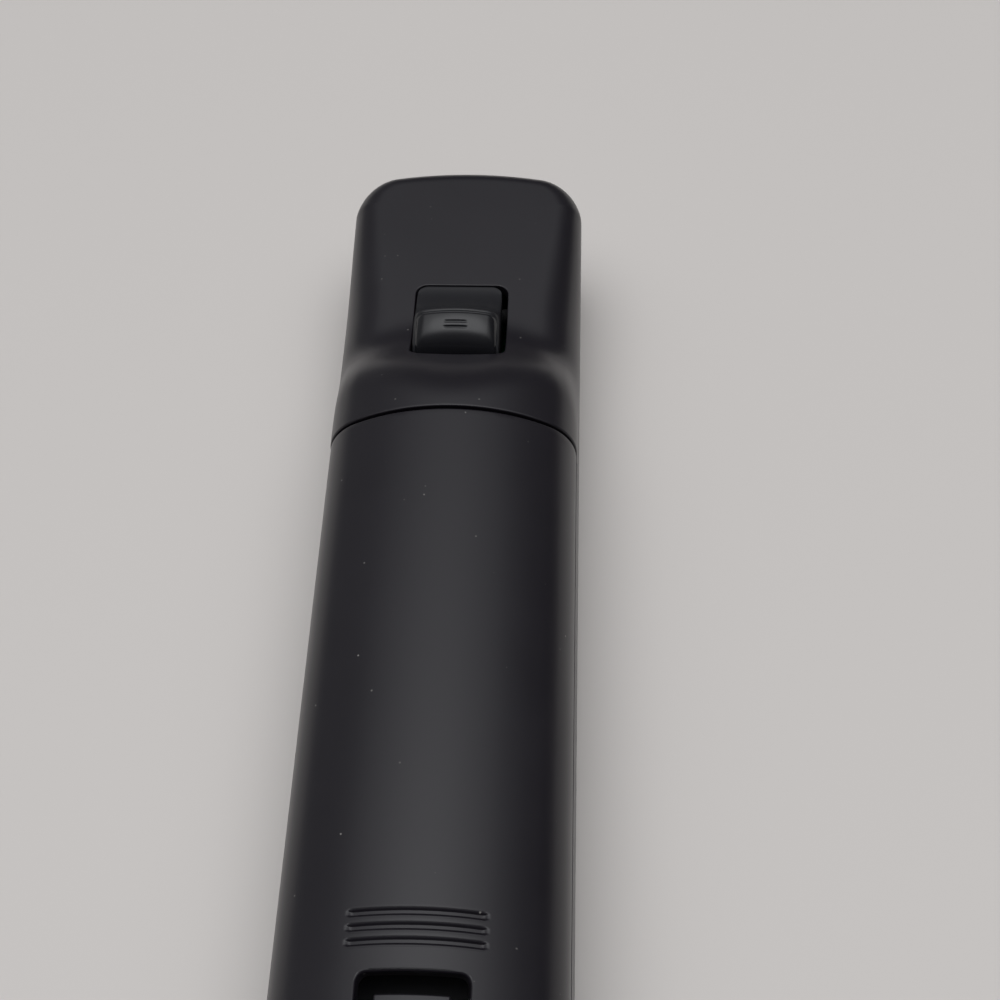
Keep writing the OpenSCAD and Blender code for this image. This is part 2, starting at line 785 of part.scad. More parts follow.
// Coil spring as one tube swept along a helix, standing on height z0
coil_steps = 8;
function helix_points(turns, coil_r, z0, z1, steps) = [
    for (i = [0:turns * steps])
        [coil_r * cos(360 * i / steps), coil_r * sin(360 * i / steps), z0 + (z1 - z0) * i / (turns * steps)]
];
module tube(points, r, sides = 6) {
    n = len(points);
    rings = [for (i = [0:n - 1])
        let (d = points[min(i + 1, n - 1)] - points[max(i - 1, 0)])
        let (t = d / norm(d), u = cross(t, [0, 0, 1]) / norm(cross(t, [0, 0, 1])), v = cross(t, u))
        for (k = [0:sides - 1]) points[i] + r * (cos(360 * k / sides) * u + sin(360 * k / sides) * v)];
    walls = [for (i = [0:n - 2], k = [0:sides - 1])
        let (a = i * sides + k, b = i * sides + (k + 1) % sides)
        each [[a, b, a + sides], [b, b + sides, a + sides]]];
    first = [for (k = [1:sides - 2]) [0, k + 1, k]];
    last = [for (k = [1:sides - 2]) [0, k, k + 1] + [1, 1, 1] * (n - 1) * sides];
    polyhedron(rings, concat(first, walls, last));
}
function coil_points(turns, coil_r, wire_r, z0, z1) =
    helix_points(turns, coil_r, z0 + wire_r, z1 - wire_r, coil_steps);
// Least distance between a point and those half a turn or more further on, less the wire
function coil_gap(points, wire_r) = min([
    for (i = [0:len(points) - 1], j = [i + coil_steps / 2:1:len(points) - 1]) norm(points[i] - points[j])
]) - 2 * wire_r;
module coil(turns, coil_r, wire_r, z0, z1) {
    tube(coil_points(turns, coil_r, wire_r, z0, z1), wire_r);
}
module trigger_spring() color("silver") translate([0, trigger_spring_y, 0]) {
    coil(trigger_spring_turns, trigger_spring_r, trigger_spring_wire, board_top,
        trigger_bottom + trigger_pocket_d);
}
module latch_spring() color("silver") translate([0, latch_spring_y, 0]) {
    coil(latch_spring_turns, latch_spring_r, latch_spring_wire, deck_top, latch_under);
}
echo(trigger_spring_gap = coil_gap(coil_points(trigger_spring_turns, trigger_spring_r,
    trigger_spring_wire, board_top, trigger_bottom + trigger_pocket_d), trigger_spring_wire));
echo(latch_spring_gap = coil_gap(coil_points(latch_spring_turns, latch_spring_r,
    latch_spring_wire, deck_top, latch_under), latch_spring_wire));
echo(battery_spring_gap = coil_gap(coil_points(cell_spring_turns, cell_spring_r,
    cell_spring_wire, 0, contact_room), cell_spring_wire));
module trigger_switch() color("#3a3a3d") {
    block(-switch_half_w, switch_half_w, trigger_post_y - switch_half_l, trigger_post_y + switch_half_l,
        board_top, trigger_switch_top - switch_button_h);
    post(0, trigger_post_y, trigger_switch_top - switch_button_h, trigger_switch_top, trigger_post_r);
}

// Latch tab of the battery cover
module cover_latch() color("#2f2f32") {
    intersection() {
        along_y(latch_back, latch_front) arch(0.3, latch_under);
        block(-latch_w / 2, latch_w / 2, latch_back, latch_front, latch_under, back_h);
    }
    block(-latch_w / 2, latch_w / 2, latch_pin_y - latch_stem_t / 2, latch_pin_y + latch_stem_t / 2,
        latch_pin_h, latch_under + eps);
    pin_end = latch_w / 2 + latch_side_gap + latch_ear;
    bar_x(-pin_end, pin_end, latch_pin_y, latch_pin_h, latch_pin_r);
    bar_x(-latch_w / 2, latch_w / 2, latch_pin_y, latch_pin_h, latch_hub_r);
}

// Round buttons: a crowned cap through the face and a flange behind it
module round_button(b) {
    top = face_h - b[3];
    crown = b[2] * 4;
    translate([b[0], b[1], 0]) {
        intersection() {
            translate([0, 0, top]) cylinder(h = flange_h - top + eps, r = b[2]);
            translate([0, 0, top + crown]) sphere(crown, $fn = 240);
        }
        translate([0, 0, flange_h]) cylinder(h = flange_t, r = b[2] + flange_w);
    }
}
module main_button() color("#26262a") round_button(main_button_at);
module minus_button() color("#1f1f21") round_button(minus_button_at);
module home_button() color("#1f1f21") round_button(home_button_at);
module plus_button() color("#1f1f21") round_button(plus_button_at);
module one_button() color("#1f1f21") round_button(one_button_at);
module two_button() color("#1f1f21") round_button(two_button_at);
module power_button() color("#7a1f1f") round_button(power_button_at);

// Direction cross on its pivot ball
module direction_cross() color("#1f1f21") translate([0, cross_y, 0]) {
    linear_extrude(cross_flange_back) cross_outline();
    translate([0, 0, cross_flange_back - flange_t]) cylinder(h = flange_t, r = cross_flange_r);
}
module cross_pivot() color("silver") {
    translate([0, cross_y, cross_ball_h]) sphere(cross_ball_r);
}

// Silicone domes between the buttons and the board
module dome(x, y, top, base_r) {
    translate([x, y, 0]) rotate_extrude() polygon([
        [0, top], [base_r * 0.5, top], [base_r * 0.9, board_h - dome_foot], [base_r, board_h - dome_foot],
        [base_r, board_h], [base_r * 0.7, board_h], [base_r * 0.3, top + dome_t], [0, top + dome_t]
    ]);
}
module main_dome() color("#d8d8d8") dome(main_button_at[0], main_button_at[1], dome_top, main_r * 0.7);
module cross_domes() color("#d8d8d8") for (a = [0:90:270]) {
    dome(cross_dome_at * cos(a), cross_y + cross_dome_at * sin(a), cross_flange_back + 0.05, cross_dome_r);
}
module menu_domes() color("#d8d8d8") {
    for (b = [minus_button_at, home_button_at, plus_button_at]) dome(b[0], b[1], dome_top, menu_r + 0.3);
}
module number_domes() color("#d8d8d8") {
    for (b = [one_button_at, two_button_at]) dome(b[0], b[1], dome_top, number_r - 0.2);
}
module power_dome() color("#d8d8d8") {
    dome(power_button_at[0], power_button_at[1], dome_top, power_r + 0.2);
}

// Sync button in the tray and its switch on the board
module sync_button() color("#b3261e") {
    post(sync_x, sync_y, sync_bottom, tray_top + sync_proud, sync_r);
    post(sync_x, sync_y, sync_bottom, tray_h - 0.1, sync_r + sync_flange);
}
module sync_switch() color("#3a3a3d") {
    block(sync_x - sync_r, sync_x + sync_r, sync_y - sync_r, sync_y + sync_r, board_top, sync_switch_top);
}

// Circuit board and what sits on it
module circuit_board() color("#1d5a34") {
    translate([0, 0, board_h]) linear_extrude(board_t) difference() {
        intersection() {
            plan(wall + board_edge);
            rect(-board_half, board_half, board_back, board_front);
        }
        translate([0, speaker_y]) circle(speaker_r + 0.5);
        for (x = [-screw_x, screw_x], y = screw_ys) translate([x, y]) circle(boss_r + 0.3);
        for (p = board_posts) translate([p[0], p[1]]) circle(board_screw_r + 0.2);
    }
}
module radio_shield() color("silver") difference() {
    block(-shield_half, shield_half, shield_back, shield_front, board_top, board_top + shield_h);
    block(shield_t - shield_half, shield_half - shield_t, shield_back + shield_t, shield_front - shield_t,
        board_top - 1, board_top + shield_h - shield_t);
}
// Each chip: x, distance from the nose, width, length
chips = [
    [-9, 20, 7, 7], [9, 20, 5, 6], [-10, 33, 4, 4],
    [-10, 108, 7, 9], [9, 108, 5, 5], [8, 114.5, 4, 3]
];
module board_chips() color("#18181a") for (c = chips) {
    block(c[0] - c[2] / 2, c[0] + c[2] / 2, tip_y - c[1] - c[3] / 2, tip_y - c[1] + c[3] / 2,
        board_top, board_top + chip_h);
}
module camera_module() color("#202024") {
    block(-camera_half, camera_half, camera_front - lens_l - camera_l, camera_front - lens_l,
        board_top, split_h + camera_rise);
}
module camera_lens() color("#0c0c10") {
    along_y(camera_front - lens_l, camera_front) translate([0, split_h]) circle(lens_r);
}

// Speaker
module speaker_frame() color("#8a8d91") translate([0, speaker_y, face_in]) difference() {
    cylinder(h = speaker_h, r = speaker_r);
    translate([0, 0, -1]) cylinder(h = 1 + speaker_step, r = speaker_r - speaker_rim);
    translate([0, 0, speaker_step - eps]) cylinder(h = speaker_pit, r = speaker_r - speaker_seat);
}
module speaker_cone() color("#1a1a1c") translate([0, speaker_y, face_in]) rotate_extrude() polygon([
    [0, cone_lip - cone_dip], [cone_r * 0.4, cone_lip - cone_dip], [cone_r, cone_lip],
    [speaker_r - speaker_rim, cone_lip], [speaker_r - speaker_rim, speaker_step],
    [cone_r - 0.2, speaker_step], [cone_r * 0.4 - 0.2, cone_lip], [0, cone_lip]
]);

// Rumble motor: can, rubber boot, shaft and eccentric weight
module rumble_motor() color("#b9bcc0") difference() {
    bar_x(motor_x0, motor_x1, motor_y, motor_h, motor_r);
    bar_x(motor_x1 - shaft_in - 0.5, motor_x1 + 1, motor_y, motor_h, shaft_r + run);
}
module motor_boot() color("#232325") difference() {
    block(motor_x0 + boot_in, motor_x0 + boot_in + boot_l, motor_y - motor_r - boot_wall,
        motor_y + motor_r + boot_wall, board_top, motor_h);
    bar_x(motor_x0, motor_x1, motor_y, motor_h, motor_r + run);
}
module rumble_shaft() color("silver") {
    bar_x(motor_x1 - shaft_in, weight_x + weight_l + 0.5, motor_y, motor_h, shaft_r);
}
module rumble_weight() color("#77797d") difference() {
    intersection() {
        bar_x(weight_x, weight_x + weight_l, motor_y, motor_h, weight_r);
        block(weight_x - 1, weight_x + weight_l + 1, motor_y - weight_r - 1, motor_y + weight_r + 1,
            motor_h - weight_r - 1, motor_h + weight_cut);
    }
    bar_x(weight_x - 1, weight_x + weight_l + 1, motor_y, motor_h, shaft_r);
}

// Expansion socket
module socket_housing() color("#161618") {
    difference() {
        block(-socket_out_w / 2, socket_out_w / 2, tail_y + 0.2, socket_front, socket_bottom,
            socket_bottom + socket_out_h);
        block(-socket_w / 2, socket_w / 2, tail_y - 1, tail_y + socket_d, socket_mid - socket_h / 2,
            socket_mid + socket_h / 2);
    }
    block(-tongue_w / 2, tongue_w / 2, tail_y + tongue_back, tail_y + socket_d + eps,
        socket_mid - tongue_t / 2, socket_mid + tongue_t / 2);
}
module socket_contacts() color("#c8a24a") for (i = [-1:1], side = [-1, 1]) {
    z = socket_mid + side * (tongue_t + contact_t) / 2;
    block(i * contact_pitch - contact_w / 2, i * contact_pitch + contact_w / 2,
        tail_y + tongue_back + contact_w / 2, tail_y + socket_d - contact_t,
        z - contact_t / 2, z + contact_t / 2);
}

// Battery cells, laid in opposite directions, and their contacts
nub_l = 1.3;
nub_r = 2.7;
cell_spring_turns = 2;
cell_spring_r = 3;
cell_spring_wire = 0.2;
plate_t = 0.5;
plate_half = 4;
plate_boss_r = 2.2;
module cell(side, flip) {
    translate([side * cell_x, (cell_front + cell_back) / 2, cell_h]) rotate([flip * 90, 0, 0]) {
        translate([0, 0, -cell_l / 2]) cylinder(h = cell_l - nub_l, r = cell_r);
        translate([0, 0, cell_l / 2 - nub_l - eps]) cylinder(h = nub_l + eps, r = nub_r);
    }
}
module battery_cell_left() color("#6f7d46") cell(-1, 1);
module battery_cell_right() color("#6f7d46") cell(1, -1);
module cell_spring(x, y) {
    translate([x, y, cell_h]) rotate([90, 0, 0]) {
        coil(cell_spring_turns, cell_spring_r, cell_spring_wire, 0, contact_room);
    }
}
module battery_springs() color("silver") {
    cell_spring(-cell_x, bay_front);
    cell_spring(cell_x, cell_back);
}
module battery_plate(x, y, facing) {
    far = y + facing * (contact_room - 0.1);
    near = y + facing * plate_t;
    block(x - plate_half, x + plate_half, min(y, near), max(y, near), tray_top, cell_h);
    translate([0, 0, cell_h]) along_y(min(y, far), max(y, far)) translate([x, 0]) circle(plate_boss_r);
}
module battery_plates() color("silver") {
    battery_plate(-cell_x, bay_back, 1);
    battery_plate(cell_x, bay_front, -1);
}

// Player lights on the board and the guides that bring them to the face
light_h = 1;
guide_rim = 0.3;
module player_lights() color("#dfe8ff") for (i = [-1.5:1.5]) {
    block(i * lights_pitch - light_half_w / 2, i * lights_pitch + light_half_w / 2,
        lights_y - light_half_l / 2, lights_y + light_half_l / 2, board_h - light_h, board_h);
}
module light_guides() color("#e9edf5") for (i = [-1.5:1.5]) {
    light_slot(i * lights_pitch, face_h, face_in, 0.1);
    block(i * lights_pitch - light_half_w - guide_rim, i * lights_pitch + light_half_w + guide_rim,
        lights_y - light_half_l - guide_rim, lights_y + light_half_l + guide_rim,
        face_in, board_h - light_h - 0.1);
}

// Fasteners
drive_w = 0.4;
drive_d = 0.5;
module screw(x, y, seat, length, head_r, head_t, shank_r) {
    difference() {
        union() {
            post(x, y, seat - length, seat + eps, shank_r);
            post(x, y, seat, seat + head_t, head_r);
        }
        for (a = [0:120:240]) translate([x, y, seat + head_t - drive_d]) rotate(a) {
            translate([0, -drive_w / 2, 0]) cube([head_r * 0.7, drive_w, 2 * drive_d]);
        }
    }
}
module case_screws() color("#55585c") for (x = [-screw_x, screw_x], y = screw_ys) {
    screw(x, y, tray_top, case_screw_l, screw_head_r, case_screw_head_t, screw_r);
}
module board_screws() color("#55585c") for (p = board_posts) {
    screw(p[0], p[1], board_top, board_screw_l, board_screw_head_r, board_screw_head_t, board_screw_r);
}

front_case();
rear_case();
tail_frame();
battery_cover();
battery_tray();
camera_window();
trigger();
trigger_spring();
trigger_switch();
cover_latch();
latch_spring();
main_button();
direction_cross();
cross_pivot();
minus_button();
home_button();
plus_button();
one_button();
two_button();
power_button();
sync_button();
main_dome();
cross_domes();
menu_domes();
number_domes();
power_dome();
circuit_board();
radio_shield();
board_chips();
sync_switch();
camera_module();
camera_lens();
speaker_frame();
speaker_cone();
rumble_motor();
motor_boot();
rumble_shaft();
rumble_weight();
socket_housing();
socket_contacts();
battery_cell_left();
battery_cell_right();
battery_springs();
battery_plates();
player_lights();
light_guides();
case_screws();
board_screws();
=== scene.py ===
from math import acos, asin, atan2, cos, exp, hypot, pi, radians, sin, sqrt
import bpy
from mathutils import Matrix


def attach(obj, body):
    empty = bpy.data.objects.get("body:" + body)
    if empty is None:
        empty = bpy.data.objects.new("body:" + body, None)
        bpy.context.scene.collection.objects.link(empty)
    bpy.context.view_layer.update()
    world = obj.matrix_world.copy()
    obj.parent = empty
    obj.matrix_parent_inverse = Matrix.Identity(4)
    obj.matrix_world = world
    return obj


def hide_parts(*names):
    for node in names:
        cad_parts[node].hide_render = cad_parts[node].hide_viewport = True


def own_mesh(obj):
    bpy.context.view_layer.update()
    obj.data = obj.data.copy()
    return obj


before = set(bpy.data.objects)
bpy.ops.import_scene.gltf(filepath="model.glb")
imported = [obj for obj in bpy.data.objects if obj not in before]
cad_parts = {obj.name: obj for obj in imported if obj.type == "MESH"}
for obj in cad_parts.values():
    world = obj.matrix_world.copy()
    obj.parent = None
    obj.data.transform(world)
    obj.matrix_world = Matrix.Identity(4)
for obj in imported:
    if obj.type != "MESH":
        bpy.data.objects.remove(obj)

from types import SimpleNamespace
import bpy
import bmesh
from mathutils import Matrix, Vector

mm = 0.001
scene = bpy.context.scene
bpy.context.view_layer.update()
print("frame loaded:", len(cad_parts), "nodes")


def sized(base, **change):
    # a piece's dictionary, changed where asked, whose values are then read as spec.name
    return SimpleNamespace(**dict(base, **change))


# colours and nodes

def linearColour(hexCode):
    parts = [int(hexCode[i:i + 2], 16) / 255 for i in (0, 2, 4)]
    return tuple(p / 12.92 if p <= 0.04045 else ((p + 0.055) / 1.055) ** 2.4 for p in parts) + (1.0,)


def setInputs(node, inputs):
    # an output is linked, a node stands for its first output, a hex code for its colour, and the rest is set
    for key, value in inputs.items():
        if isinstance(value, bpy.types.Node):
            value = value.outputs[0]
        if isinstance(value, bpy.types.NodeSocket):
            node.id_data.links.new(value, node.inputs[key])
        else:
            node.inputs[key].default_value = linearColour(value) if isinstance(value, str) else value


def addNode(tree, kind, inputs=None, **settings):
    node = tree.nodes.new(kind)
    for key, value in settings.items():
        setattr(node, key, value)
    setInputs(node, inputs or {})
    return node


def newMaterial(name, roughness, metallic=0.0):
    material = bpy.data.materials.new(name)
    material.use_nodes = True
    tree = material.node_tree
    shader = tree.nodes["Principled BSDF"]
    setInputs(shader, {"Roughness": roughness, "Metallic": metallic})
    return material, tree, shader, addNode(tree, "ShaderNodeTexCoord").outputs["Object"]


def finishSurface(shader, spec, colour, sheenBy, reliefBy):
    # the colour, a roughness that drifts with one texture, and fine relief that follows another
    tree, (low, high) = shader.id_data, spec.sheen
    sheen = addNode(tree, "ShaderNodeMapRange", {
        "To Min": spec.roughness + low, "To Max": spec.roughness + high, "Value": sheenBy})
    bump = addNode(tree, "ShaderNodeBump", {
        "Strength": spec.relief, "Distance": spec.reliefMm * mm, "Height": reliefBy})
    setInputs(shader, {
        "Base Color": colour, "Roughness": sheen, "Normal": bump})


# Black ABS moulded in a spark-eroded tool: a dull grey sheen with a fine grit, and specks of dust on it
mouldedAbs = {
    "colour": "17151a", "worn": "1c1a1f", "roughness": 0.33, "sheen": (-0.04, 0.05), "cloudMm": 14.0,
    "gritMm": 0.16, "relief": 0.35, "reliefMm": 0.012, "dust": "9a9894", "dustCellMm": 2.4, "dustMm": 0.17,
    "dustCore": 0.4, "dustStray": 0.00012, "dustFrom": 0.45, "dustMost": 0.6}


def mouldedMaterial(name, dusty=False, **change):
    spec = sized(mouldedAbs, **change)
    material, tree, shader, coords = newMaterial(name, spec.roughness)
    grit = addNode(tree, "ShaderNodeTexNoise", {
        "Scale": 1 / (spec.gritMm * mm), "Detail": 2.0, "Vector": coords})
    cloud = addNode(tree, "ShaderNodeTexNoise", {
        "Scale": 1 / (spec.cloudMm * mm), "Detail": 3.0, "Vector": coords})
    tone = addNode(tree, "ShaderNodeMix", {0: cloud, 6: spec.colour, 7: spec.worn}, data_type="RGBA")
    if dusty:
        stray = addNode(tree, "ShaderNodeMix", {
            0: spec.dustStray, 4: coords, 5: grit.outputs["Color"]}, data_type="VECTOR")
        cells = addNode(tree, "ShaderNodeTexVoronoi", {
            "Scale": 1 / (spec.dustCellMm * mm), "Vector": stray.outputs[1]})
        size = spec.dustMm / spec.dustCellMm
        speck = addNode(tree, "ShaderNodeMapRange", {
            "From Min": size, "From Max": spec.dustCore * size, "Value": cells})
        some = addNode(tree, "ShaderNodeSeparateColor", {"Color": cells.outputs["Color"]})
        weight = addNode(tree, "ShaderNodeMapRange", {
            "From Min": spec.dustFrom, "To Max": spec.dustMost, "Value": some.outputs["Red"]})
        faint = addNode(tree, "ShaderNodeMath", {0: speck, 1: weight}, operation="MULTIPLY")
        tone = addNode(tree, "ShaderNodeMix", {0: faint, 6: tone.outputs[2], 7: spec.dust}, data_type="RGBA")
    finishSurface(shader, spec, tone.outputs[2], cloud, grit)
    return material


shellPlastic = mouldedMaterial("black_abs_moulded", dusty=True)
# Its kin: duller and clean inside the case, rough and darkened as painted shade in the trigger's gap, a shade
# paler on the trigger
innerPlastic = mouldedMaterial("black_abs_plain", colour="1b1b1d", worn="212124", roughness=0.55)
pinShadedPlastic = mouldedMaterial("black_abs_rough", colour="0e0e0f", worn="131314", roughness=0.85)
triggerPlastic = mouldedMaterial("black_abs_satin", dusty=True, colour="1c1c1f", worn="212124")

# Black ABS from a polished tool: a clear reflection with faint waviness
polishedAbs = {
    "colour": "19191c", "roughness": 0.2, "sheen": (-0.05, 0.08), "waveMm": 5.0, "relief": 0.1,
    "reliefMm": 0.01}


def polishedMaterial(name, **change):
    spec = sized(polishedAbs, **change)
    material, tree, shader, coords = newMaterial(name, spec.roughness)
    wave = addNode(tree, "ShaderNodeTexNoise", {
        "Scale": 1 / (spec.waveMm * mm), "Detail": 4.0, "Vector": coords})
    finishSurface(shader, spec, spec.colour, wave, wave)
    return material


triggerGloss = polishedMaterial("black_abs_polished")
# Face buttons: darker, with a sharper reflection
buttonGloss = polishedMaterial("black_acrylic_button", colour="141417", roughness=0.16)
print("materials made")


# mesh building, in millimetres

class Skin:
    def __init__(self):
        self.verts, self.faces, self.marks = [], [], []

    def row(self, points):
        first = len(self.verts)
        self.verts += [tuple(p) for p in points]
        return list(range(first, len(self.verts)))

    def strip(self, a, b, mark=0):
        for i in range(len(a) - 1):
            self.cap([a[i], a[i + 1], b[i + 1], b[i]], mark)

    def band(self, a, b, mark=0):
        # a strip between two closed loops
        self.strip(a + a[:1], b + b[:1], mark)

    def cap(self, loop, mark=0):
        self.faces.append(list(loop))
        self.marks.append(mark)

    def tube(self, rings, mark=lambda i: 0, ends=True):
        # bands from each closed loop to the next, and a cap at either end
        for i, (a, b) in enumerate(zip(rings, rings[1:])):
            self.band(a, b, mark(i))
        if ends:
            self.cap(rings[0], mark(0))
            self.cap(rings[-1], mark(len(rings) - 2))

    def lathe(self, profile, place=(0, 0, 0), axis="z", sides=40, mark=lambda i: 0, ends=True):
        # pairs of radius and height along the axis, from one end to the other
        rings = []
        for radius, h in profile:
            points = []
            for k in range(sides):
                u, v = radius * cos(2 * pi * k / sides), radius * sin(2 * pi * k / sides)
                point = {"x": (h, u, v), "y": (u, h, v), "z": (u, v, h)}[axis]
                points.append([a + b for a, b in zip(place, point)])
            rings.append(self.row(points))
        self.tube(rings, mark, ends)

    def box(self, low, high):
        xs, ys, zs = zip(low, high)
        i = self.row([(x, y, z) for z in zs for y in ys for x in xs])
        for f in ((0, 2, 3, 1), (4, 5, 7, 6), (0, 1, 5, 4), (2, 6, 7, 3), (0, 4, 6, 2), (1, 3, 7, 5)):
            self.cap([i[k] for k in f])

    def grid(self, rows, first=0, last=0, gapRows=()):
        # strips between rows, leaving a patch open between two columns of some
        for i, (a, b) in enumerate(zip(rows, rows[1:])):
            if i in gapRows:
                self.strip(a[:first + 1], b[:first + 1])
                self.strip(a[last:], b[last:])
            else:
                self.strip(a, b)

    def closeIn(self, join, loop, shares, outline, height):
        # rings from the patch's edge in to the outline of an opening: half width, back, front and corner
        ring = loop
        for share in shares:
            points = []
            for k in loop:
                px, py = self.verts[k][:2]
                qx, qy = roundedRectNear(px, py, *outline)
                x, y = px + (qx - px) * share, py + (qy - py) * share
                points.append((x, y, height(x, y)))
            inner = self.row(points)
            join(ring, inner)
            ring = inner


def roundedRectNear(px, py, half, y0, y1, r):
    # closest point on a rounded rectangle, from a point outside it
    cx = min(max(px, r - half), half - r)
    cy = min(max(py, y0 + r), y1 - r)
    dx, dy = px - cx, py - cy
    length = hypot(dx, dy) or 1.0
    return cx + dx * r / length, cy + dy * r / length


def spread(a, b, count):
    return [a + (b - a) * i / count for i in range(count + 1)]


def smoothStep(a, b, t):
    t = min(1.0, max(0.0, (t - a) / (b - a)))
    return t * t * (3 - 2 * t)


# Cleaning of meshes: mm within which points are merged or count as level, and degrees under which faces
# count as flat
cleaning = {"weld": 0.002, "sliver": 0.001, "packedWeld": 0.003, "level": 0.001, "flat": 1.0}


def addObject(name, data):
    obj = bpy.data.objects.new(name, data)
    scene.collection.objects.link(obj)
    return obj


def buildObject(name, skin, materials):
    mesh = bpy.data.meshes.new(name)
    mesh.from_pydata([Vector(v) * mm for v in skin.verts], [], skin.faces)
    mesh.polygons.foreach_set("material_index", skin.marks)
    for material in materials:
        mesh.materials.append(material)
    bm = bmesh.new()
    bm.from_mesh(mesh)
    bmesh.ops.remove_doubles(bm, verts=bm.verts, dist=cleaning["weld"] * mm)
    bmesh.ops.dissolve_degenerate(bm, edges=bm.edges, dist=cleaning["sliver"] * mm)
    bmesh.ops.recalc_face_normals(bm, faces=bm.faces)
    bm.to_mesh(mesh)
    bm.free()
    return addObject(name, mesh)


def cleanCopy(node, name):
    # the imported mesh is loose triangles, so the copy is merged and its flat faces joined before anything else
    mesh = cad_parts[node].data.copy()
    mesh.name = name
    mesh.materials.clear()
    bm = bmesh.new()
    bm.from_mesh(mesh)
    bmesh.ops.remove_doubles(bm, verts=bm.verts, dist=cleaning["packedWeld"] * mm)
    bmesh.ops.dissolve_limit(bm, angle_limit=radians(cleaning["flat"]), verts=bm.verts, edges=bm.edges)
    bm.to_mesh(mesh)
    bm.free()
    return addObject(name, mesh)


def bakeModifiers(obj):
    bpy.context.view_layer.update()
    evaluated = obj.evaluated_get(bpy.context.evaluated_depsgraph_get())
    baked = bpy.data.meshes.new_from_object(evaluated)
    obj.modifiers.clear()
    old = obj.data
    obj.data = baked
    baked.name = obj.name
    bpy.data.meshes.remove(old)


def thicken(obj, wall):
    solid = obj.modifiers.new("wall", "SOLIDIFY")
    solid.thickness, solid.offset = wall * mm, -1.0
    solid.use_even_offset = True
    bakeModifiers(obj)


def roundEdges(obj, width, segments=3, angle=40, share=None):
    bm = bmesh.new()
    bm.from_mesh(obj.data)
    weight = bm.edges.layers.float.get("bevel_weight_edge") or bm.edges.layers.float.new("bevel_weight_edge")
    for edge in bm.edges:
        sharp = len(edge.link_faces) == 2 and edge.is_convex and edge.calc_face_angle(0) > radians(angle)
        edge[weight] = (share(edge) if share else 1.0) if sharp else 0.0
    bm.to_mesh(obj.data)
    bm.free()
    bevel = obj.modifiers.new("edges", "BEVEL")
    bevel.limit_method, bevel.width, bevel.segments = "WEIGHT", width * mm, segments
    bevel.use_clamp_overlap = bevel.loop_slide = False
    bakeModifiers(obj)
    shadeSmooth(obj)


def onLevel(edge, axis, level):
    return all(abs(v.co[axis] - level * mm) < cleaning["level"] * mm for v in edge.verts)


def shadeSmooth(obj, angle=32):
    obj.data.polygons.foreach_set("use_smooth", [True] * len(obj.data.polygons))
    obj.data.set_sharp_from_angle(angle=radians(angle))
    even = obj.modifiers.new("even", "WEIGHTED_NORMAL")
    even.keep_sharp = True
    bakeModifiers(obj)


def changeBy(obj, tool, operation):
    change = obj.modifiers.new("change", "BOOLEAN")
    change.operation, change.object, change.solver = operation, tool, "EXACT"
    bakeModifiers(obj)
    bpy.data.objects.remove(tool)


def settle(obj, body, node):
    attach(obj, body)
    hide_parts(node)
    print("piece", obj.name, len(obj.data.polygons), "faces")


# Nose half of the back: the shell from the cover's seam to the tip, with the trigger opening
noseShell = {
    "seam": 17.5, "slope": 42.0, "tip": 74.0, "half": 18.1, "split": 12.0, "base": 18.2, "top": 23.0,
    "back": 30.8, "crown": 27.0, "shoulder": 8.0, "archHalf": 17.72, "bow": 60.0, "corner": 8.0,
    "cornerFrom": 0.2, "sideRound": 4.2, "slopeRound": 7.0, "frontRound": 3.0, "easeFrom": 69.0,
    "flatHalf": 12.4, "noseBase": 15.4, "wall": 1.8, "edge": 0.22, "plainUnder": 18.0, "sideSlope": 37.2,
    "slopeBlend": (0.2, 0.8), "sideEarly": 5.5, "earlyRise": (0, 0.3), "earlyFall": (0.35, 1),
    "openingHalf": 7.0, "openingBack": 31.0, "openingFront": 47.75, "openingRound": 1.8, "openingEdge": 0.16,
    "openingRings": (0.45, 0.8, 1.0), "margin": 0.85, "fineRows": 2.4, "seamRows": 2.0, "flatColumns": 6,
    "windowHalf": 11.0, "windowLow": 7.4, "windowHigh": 16.6, "windowRound": 2.5, "windowDepth": 64.0,
    "windowEnd": 79.0}


def sideEase(y, spec):
    # the edge rounding of the nose widens towards the slope
    return spec.sideRound + (spec.slopeRound - spec.sideRound) * smoothStep(spec.easeFrom, spec.slope, y)


def noseCurve(t, ease, spec):
    # half a section of the nose, by its share of the way: up the side, round the edge and in to the middle
    wall, turn = spec.top - ease - spec.noseBase, ease * pi / 2
    along = t * (wall + turn + spec.half - ease)
    if along < wall:
        return spec.half, spec.noseBase + along
    if along < wall + turn:
        angle = (along - wall) / ease
        return spec.half - ease * (1 - cos(angle)), spec.top - ease * (1 - sin(angle))
    return spec.half - ease - (along - wall - turn), spec.top


def archCurve(t, spec):
    # half a section of the grip, likewise: up the side, round the shoulder and over the crown
    reach, low = spec.archHalf - spec.shoulder, spec.back - spec.crown
    rise = sqrt((spec.crown - spec.shoulder) ** 2 - reach ** 2)
    meet = atan2(rise, reach)
    wall, turn = low + rise - spec.base, spec.shoulder * meet
    along = t * (wall + turn + spec.crown * (pi / 2 - meet))
    if along < wall:
        return spec.archHalf, spec.base + along
    if along < wall + turn:
        angle = (along - wall) / spec.shoulder
        return reach + spec.shoulder * cos(angle), low + rise + spec.shoulder * sin(angle)
    angle = meet + (along - wall - turn) / spec.crown
    return spec.crown * cos(angle), low + spec.crown * sin(angle)


